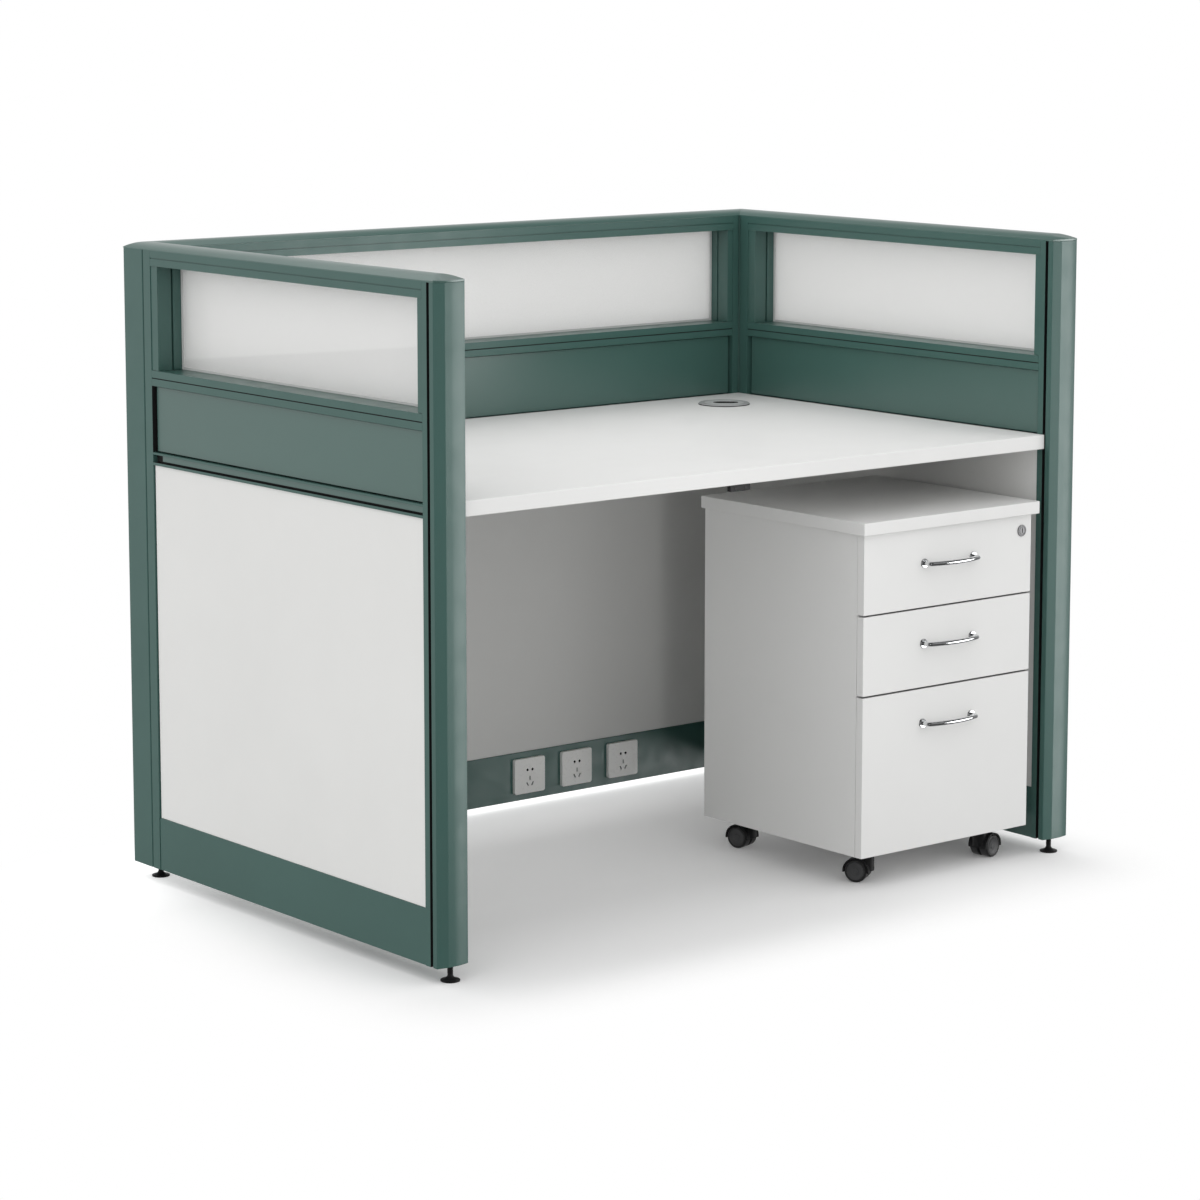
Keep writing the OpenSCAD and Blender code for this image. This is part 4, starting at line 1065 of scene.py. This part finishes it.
class WORKSTATION_OT_pedestal(Undoable, bpy.types.Operator):
    """Pedestal's boards, drawer runners and castor plates"""
    bl_idname = "workstation.pedestal"
    bl_label = "Pedestal"

    def execute(self, context):
        sizes = context.scene.workstation_sizes
        eased("pedestal_top", "board", sizes.top_edge, "white_board", melamine(), steps=3)
        for board in ("sides", "back", "base"):
            eased(f"pedestal_{board}", "boards", sizes.board_edge / 2, "white_board", melamine())
        eased("cabinet_runners", "rolled", FINE_EDGE, "zinc_steel", zinc_steel())
        eased("castor_plates", "pressed", PRESSED_EDGE, "zinc_steel", zinc_steel())
        return {"FINISHED"}


class WORKSTATION_OT_drawers(Undoable, bpy.types.Operator):
    """Drawer fronts, with painted shade on their undersides in the gaps below them, and boxes with
    their slide rails
    """
    bl_idname = "workstation.drawers"
    bl_label = "Drawers"

    def execute(self, context):
        edge = context.scene.workstation_sizes.board_edge
        for drawer in DRAWERS:
            node = f"{drawer}_drawer_front"
            shape = merged(node)
            # The undersides of the upper fronts get painted shade
            mark(shape.faces, lambda face: drawer != "file" and face.normal.z < -ALONG)
            eased(node, "board", edge, "white_board", melamine(), painted_shade(), shape=shape)
            node = f"{drawer}_drawer_box"
            shape = merged(node)
            low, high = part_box(node)
            for faces in islands(shape):
                a, b = face_box(faces)
                if a.x < low.x + NEAR or b.x > high.x - NEAR:
                    mark(faces)
            eased(node, "boards", edge / 3, "drawer_board", melamine(), zinc_steel(),
                  shape=shape)
        return {"FINISHED"}


class WORKSTATION_OT_handles(Undoable, bpy.types.Operator):
    """Bow handles bent from round rod"""
    bl_idname = "workstation.handles"
    bl_label = "Handles"

    def execute(self, context):
        sizes = context.scene.workstation_sizes
        for drawer in DRAWERS:
            node = f"{drawer}_handle"
            low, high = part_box(node)
            piece = new_piece(f"{node}_rod", bpy.data.meshes.new(node), chrome())
            grow(piece, handle_tree(), {
                "Pitch": sizes.handle_pitch, "Reach": sizes.handle_reach,
                "Rod radius": sizes.handle_rod, "Bow radius": sizes.handle_bow,
                "Bend radius": sizes.handle_bend, "Finish": chrome(),
                "Place": ((low.x + high.x) / 2, high.y, (low.z + high.z) / 2)})
            piece.data.set_sharp_from_angle(angle=math.radians(30))
            stand_for(piece, node)
        return {"FINISHED"}


class WORKSTATION_OT_lock(Undoable, bpy.types.Operator):
    """Lock's stepped housing and its key barrel"""
    bl_idname = "workstation.lock"
    bl_label = "Lock"

    def execute(self, context):
        low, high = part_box("lock_housing")
        barrel_low, barrel_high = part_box("lock_barrel")
        clearance, margin = 0.0001, 0.001
        bore = (barrel_high.x - barrel_low.x) / 2 + clearance
        shape = bmesh.new()
        profile, groove = self.housing((high.x - low.x) / 2, high.y - low.y, bore)
        place = frame_on(((low.x + high.x) / 2, high.y, (low.z + high.z) / 2), (0, -1, 0))
        # The groove step gets painted shade
        turn(shape, profile, context.scene.workstation_sizes.turning_steps, place,
             [1 if i == groove else 0 for i in range(len(profile))])
        piece = new_piece("lock_housing_turned", to_mesh(close_up(shape), "lock_housing"),
                          satin_nickel(), painted_shade())
        piece.data.set_sharp_from_angle(angle=math.radians(FOLD))
        stand_for(piece, "lock_housing")
        centre = (barrel_low + barrel_high) / 2

        def in_keyway(face):
            spot = face.calc_center_median()
            reach = Vector((spot.x - centre.x, spot.z - centre.z))
            return (spot.y > barrel_low.y + NEAR and reach.length < bore - margin
                    and face.normal.y < ACROSS)

        shape = merged("lock_barrel")
        # The keyway gets painted shade
        mark(shape.faces, in_keyway)
        eased("lock_barrel", "turned", TURNED_EDGE, "chrome_metal", satin_nickel(), painted_shade(),
              shape=shape)
        return {"FINISHED"}

    def housing(self, flange, depth, bore):
        """The housing's profile, and the number of the step that is its groove, which gets painted
        shade.
        """
        neck, step, corner, chamfer = flange - 0.0023, depth - 0.002, 0.0012, 0.0003
        bottom, face, start = depth - 0.0005, depth - 0.0001, flange - 0.0022
        profile = [(bore, 0), (neck, 0), (neck, step), (flange - 0.0002, step),
                   (flange, step + chamfer)]
        profile += arc((flange - corner, depth - corner), corner, 0, 90, 6)
        groove = len(profile)
        profile += [(start, depth), (start - chamfer, bottom), (start - 3 * chamfer, bottom),
                    (start - 4 * chamfer, face), (bore + chamfer, face), (bore, face - chamfer)]
        return profile, groove


class WORKSTATION_OT_castors(Undoable, bpy.types.Operator):
    """Twin-wheel castors: tyres, hub discs and hoods"""
    bl_idname = "workstation.castors"
    bl_label = "Castors"

    def execute(self, context):
        steps = context.scene.workstation_sizes.turning_steps
        for corner in CORNERS:
            eased(f"{corner}_hood", "moulding", HOOD_EDGE, "black_plastic", black_plastic(),
                  steps=3)
            node = f"{corner}_wheels"
            shape = merged(node)
            wheels = []
            for faces in islands(shape):
                low, high = face_box(faces)
                corners = [v.co.copy() for f in faces for v in f.verts]
                wheels.append(((low + high) / 2, (high.z - low.z) / 2, corners))
            shape.free()
            middle = (wheels[0][0] + wheels[1][0]) / 2
            turned = bmesh.new()
            for centre, radius, corners in wheels:
                outward = (centre - middle).normalized()
                reach = [(corner - centre).dot(outward) for corner in corners]
                self.turned_wheel(turned, centre + outward * min(reach), outward, radius,
                                  max(reach) - min(reach), steps)
            piece = new_piece(f"{node}_turned", to_mesh(close_up(turned), node), tyre_plastic(),
                              hub_plastic())
            piece.data.set_sharp_from_angle(angle=math.radians(40))
            stand_for(piece, node)
        return {"FINISHED"}

    def turned_wheel(self, shape, origin, outward, radius, width, steps):
        """A tyre with rounded shoulders, a groove, and a dished hub with a raised cap."""
        bore, edge, inner, shoulder = 0.0032, radius - 0.003, 0.0016, 0.0032
        profile = [(bore, 0.0), (radius - 0.0015, 0.0)]
        profile += arc((radius - inner, inner), inner, -90, 0, 5)
        profile += arc((radius - shoulder, width - shoulder), shoulder, 0, 90, 8)
        profile += [(edge - 0.0006, width - 0.0002), (edge - 0.001, width - 0.001)]
        hub_start = len(profile)
        profile += [(edge - 0.0016, width - 0.001), (edge - 0.0019, width - 0.0003),
                    (edge - 0.0030, width - 0.0004), (edge - 0.0042, width - 0.0011),
                    (0.0062, width - 0.0012), (0.0056, width - 0.0006), (0.0022, width - 0.0004),
                    (0.0, width - 0.0004)]
        hub = range(hub_start, len(profile))
        profile += [(0.0, width - 0.0008), (bore, width - 0.0008)]
        turn(shape, profile, steps, frame_on(origin, outward),
             [1 if i in hub else 0 for i in range(len(profile))])


class WORKSTATION_OT_stage(Undoable, bpy.types.Operator):
    """Floor, lamps, background and camera"""
    bl_idname = "workstation.stage"
    bl_label = "Stage"

    def execute(self, context):
        scene = context.scene
        self.floor(scene, scene.workstation_light)
        self.background(scene, scene.workstation_light)
        self.lamps(scene.workstation_light)
        self.camera(scene)
        scene.view_settings.view_transform = "Standard"
        return {"FINISHED"}

    def emptied(self, owner):
        """A function that adds nodes to the owner's tree, which starts empty."""
        owner.use_nodes = True
        owner.node_tree.nodes.clear()
        return adder(owner.node_tree)

    def floor(self, scene, light):
        """A pale floor that keeps the object's shadow, with painted light added near the back panel,
        and turns white further out.
        """
        half, centre, reach = 14.0, (0.06, 0.02, 0.0), (0.66, 0.46, 0.0)
        mesh = bpy.data.meshes.new("floor")
        mesh.from_pydata([(-half, -half, 0), (half, -half, 0), (half, half, 0), (-half, half, 0)],
                         [], [(0, 1, 2, 3)])
        floor = bpy.data.objects.new("floor", mesh)
        scene.collection.objects.link(floor)
        material = bpy.data.materials.new("pale_floor")
        add = self.emptied(material)
        place = add("ShaderNodeTexCoord").outputs["Object"]
        outside = place
        for operation, value in (("ADD", centre), ("ABSOLUTE", (0, 0, 0)), ("SUBTRACT", reach),
                                 ("MAXIMUM", (0, 0, 0))):
            outside = add("ShaderNodeVectorMath", {0: outside, 1: value},
                          operation=operation).outputs["Vector"]
        distance = add("ShaderNodeVectorMath", {0: outside}, operation="LENGTH").outputs["Value"]
        far = ranged(add, distance, 0.0, light.floor_fade, smooth=True)
        # Painted light: seen-only emission that grows towards the back panel and lightens the shadow
        # there
        depth = add("ShaderNodeSeparateXYZ", {0: place}).outputs["Y"]
        painted_light_ramp = add("ShaderNodeValToRGB", {"Fac": ranged(add, depth, -0.5, 0.5)})
        stops = painted_light_ramp.color_ramp.elements
        painted_light_levels = {0.3: 0.13, 0.5: 0.28, 0.7: 0.42, 0.95: 1.0}
        places = list(painted_light_levels)
        stops[0].position, stops[1].position = places[0], places[-1]
        for between in places[1:-1]:
            stops.new(between)
        for stop, share in zip(stops, painted_light_levels.values()):
            stop.color = (share, share, share, 1.0)
        mottle = add("ShaderNodeTexNoise", {"Vector": place, "Scale": 1.5}).outputs["Fac"]
        pale = mixed(add, mottle, (0.88, 0.88, 0.88, 1), (0.90, 0.90, 0.90, 1))
        matt = add("ShaderNodeBsdfDiffuse", {"Color": pale})
        lift = add("ShaderNodeEmission", {"Color": painted_light_ramp.outputs["Color"],
                                          "Strength": light.floor_painted_light})
        near = add("ShaderNodeAddShader", {0: matt.outputs[0], 1: lift.outputs[0]})
        seen = mixed_shaders(add, far, near, add("ShaderNodeEmission"))
        bounce = add("ShaderNodeBsdfDiffuse", {"Color": (0.68, 0.68, 0.68, 1)})
        rays = self.rays(add, "Is Camera Ray", "Is Glossy Ray", "Is Transmission Ray")
        surface = mixed_shaders(add, rays, bounce, seen)
        add("ShaderNodeOutputMaterial", {"Surface": surface.outputs[0]})
        mesh.materials.append(material)
        floor.visible_glossy = False

    def rays(self, add, *kinds):
        """1 for the named kinds of rays, and 0 for the rest."""
        path = add("ShaderNodeLightPath").outputs
        value = path[kinds[0]]
        for kind in kinds[1:]:
            value = maths(add, "MAXIMUM", value, path[kind])
        return value

    def background(self, scene, light):
        """White where it is seen, an even light, and a darker front and ceiling in the gloss."""
        scene.world = bpy.data.worlds.new("studio")
        add = self.emptied(scene.world)
        place = add("ShaderNodeTexCoord").outputs["Generated"]
        axes = add("ShaderNodeSeparateXYZ", {0: place}).outputs
        leftward = ranged(add, axes["X"], -1.0, -0.1, 1.18 * light.sky, light.sky)
        ceiling = ranged(add, axes["Z"], 0.25, 0.75, 1.0, 0.12, smooth=True)
        ground = ranged(add, axes["Z"], -0.32, -0.12, 0.35, 1.0, smooth=True)
        front = ranged(add, axes["Y"], -0.4, 0.2, 0.16, 0.8, smooth=True)
        gloss = maths(add, "MULTIPLY", maths(add, "MULTIPLY", ceiling, ground), front)
        plain = (1, 1, 1, 1)
        room = add("ShaderNodeBackground", {"Color": plain, "Strength": leftward})
        mirrored = add("ShaderNodeBackground", {"Color": plain, "Strength": gloss})
        white = add("ShaderNodeBackground", {"Color": plain})
        around = mixed_shaders(add, self.rays(add, "Is Glossy Ray"), room, mirrored)
        rays = self.rays(add, "Is Camera Ray", "Is Transmission Ray")
        surface = mixed_shaders(add, rays, around, white)
        add("ShaderNodeOutputWorld", {"Surface": surface.outputs[0]})

    def lamps(self, light):
        """Two lamps above, one that reaches under the desktop, and one for the gloss alone."""
        middle, under_desk = (0.0, 0.0, 0.55), (0.3, 0.39, 0.42)
        self.lamp("key_lamp", light.key, middle, size=2.6, place=(1.7, -3.6, 3.3))
        self.lamp("top_lamp", light.top, middle, size=3.0, place=(0.0, 1.4, 3.6))
        knee = self.lamp("knee_lamp", light.knee, under_desk, size=0.5, place=(-2.2, -3.9, 0.9))
        knee.data.spread = math.radians(13)
        sheen = self.lamp("sheen_lamp", light.sheen, middle, size=3.8, place=(4.1, -3.9, 0.3))
        sheen.visible_diffuse = False
        sheen.visible_transmission = False

    def lamp(self, name, power, target, size, place):
        """A round area lamp that points at the target."""
        data = bpy.data.lights.new(name, "AREA")
        data.energy = power
        data.shape = "DISK"
        data.size = size
        lamp = bpy.data.objects.new(name, data)
        lamp.location = place
        aim = Vector(target) - Vector(place)
        lamp.rotation_euler = aim.to_track_quat("-Z", "Y").to_euler()
        bpy.context.scene.collection.objects.link(lamp)
        return lamp

    def camera(self, scene):
        """The photograph's camera, from high on the front left, with a smaller shift."""
        downward, heading = 8.067, -38.849
        data = bpy.data.cameras.new("camera")
        data.lens = 108.238
        data.sensor_width = 36.0
        data.shift_y = -0.10
        data.clip_start, data.clip_end = 0.1, 60.0
        camera = bpy.data.objects.new("camera", data)
        camera.location = (-3.8926, -4.8033, 1.5564)
        camera.rotation_euler = (math.radians(90 - downward), 0.0, math.radians(heading))
        scene.collection.objects.link(camera)
        scene.camera = camera


OPERATORS = (
    WORKSTATION_OT_frames, WORKSTATION_OT_caps, WORKSTATION_OT_windows, WORKSTATION_OT_fascias,
    WORKSTATION_OT_tiles, WORKSTATION_OT_kick_covers, WORKSTATION_OT_posts, WORKSTATION_OT_feet,
    WORKSTATION_OT_desktop, WORKSTATION_OT_grommet, WORKSTATION_OT_brackets,
    WORKSTATION_OT_sockets, WORKSTATION_OT_pedestal, WORKSTATION_OT_drawers,
    WORKSTATION_OT_handles, WORKSTATION_OT_lock, WORKSTATION_OT_castors, WORKSTATION_OT_stage,
)


class WORKSTATION_PT_panel(bpy.types.Panel):
    """Lists the workstation's pieces, sizes and colours"""
    bl_idname = "WORKSTATION_PT_panel"
    bl_label = "Cubicle workstation"
    bl_space_type = "VIEW_3D"
    bl_region_type = "UI"
    bl_category = "Workstation"

    def draw(self, context):
        for title, group in (("Sizes", context.scene.workstation_sizes),
                             ("Colours", context.scene.workstation_colours),
                             ("Light", context.scene.workstation_light)):
            box = self.layout.box()
            box.label(text=title)
            for name in group.bl_rna.properties.keys():
                if name not in ("rna_type", "name"):
                    box.prop(group, name)
        column = self.layout.column(align=True)
        for operator in OPERATORS:
            column.operator(operator.bl_idname, text=operator.bl_label)


CLASSES = (WorkstationSizes, WorkstationColours, WorkstationLight) + OPERATORS + (
    WORKSTATION_PT_panel,)


def register():
    for cls in CLASSES:
        bpy.utils.register_class(cls)
    bpy.types.Scene.workstation_sizes = PointerProperty(type=WorkstationSizes)
    bpy.types.Scene.workstation_colours = PointerProperty(type=WorkstationColours)
    bpy.types.Scene.workstation_light = PointerProperty(type=WorkstationLight)


def unregister():
    del bpy.types.Scene.workstation_light
    del bpy.types.Scene.workstation_colours
    del bpy.types.Scene.workstation_sizes
    for cls in reversed(CLASSES):
        bpy.utils.unregister_class(cls)


def main():
    register()
    bpy.ops.workstation.frames()
    bpy.ops.workstation.caps()
    bpy.ops.workstation.windows()
    bpy.ops.workstation.fascias()
    bpy.ops.workstation.tiles()
    bpy.ops.workstation.kick_covers()
    bpy.ops.workstation.posts()
    bpy.ops.workstation.feet()
    bpy.ops.workstation.desktop()
    bpy.ops.workstation.grommet()
    bpy.ops.workstation.brackets()
    bpy.ops.workstation.sockets()
    bpy.ops.workstation.pedestal()
    bpy.ops.workstation.drawers()
    bpy.ops.workstation.handles()
    bpy.ops.workstation.lock()
    bpy.ops.workstation.castors()
    bpy.ops.workstation.stage()


if __name__ == "__main__":
    main()
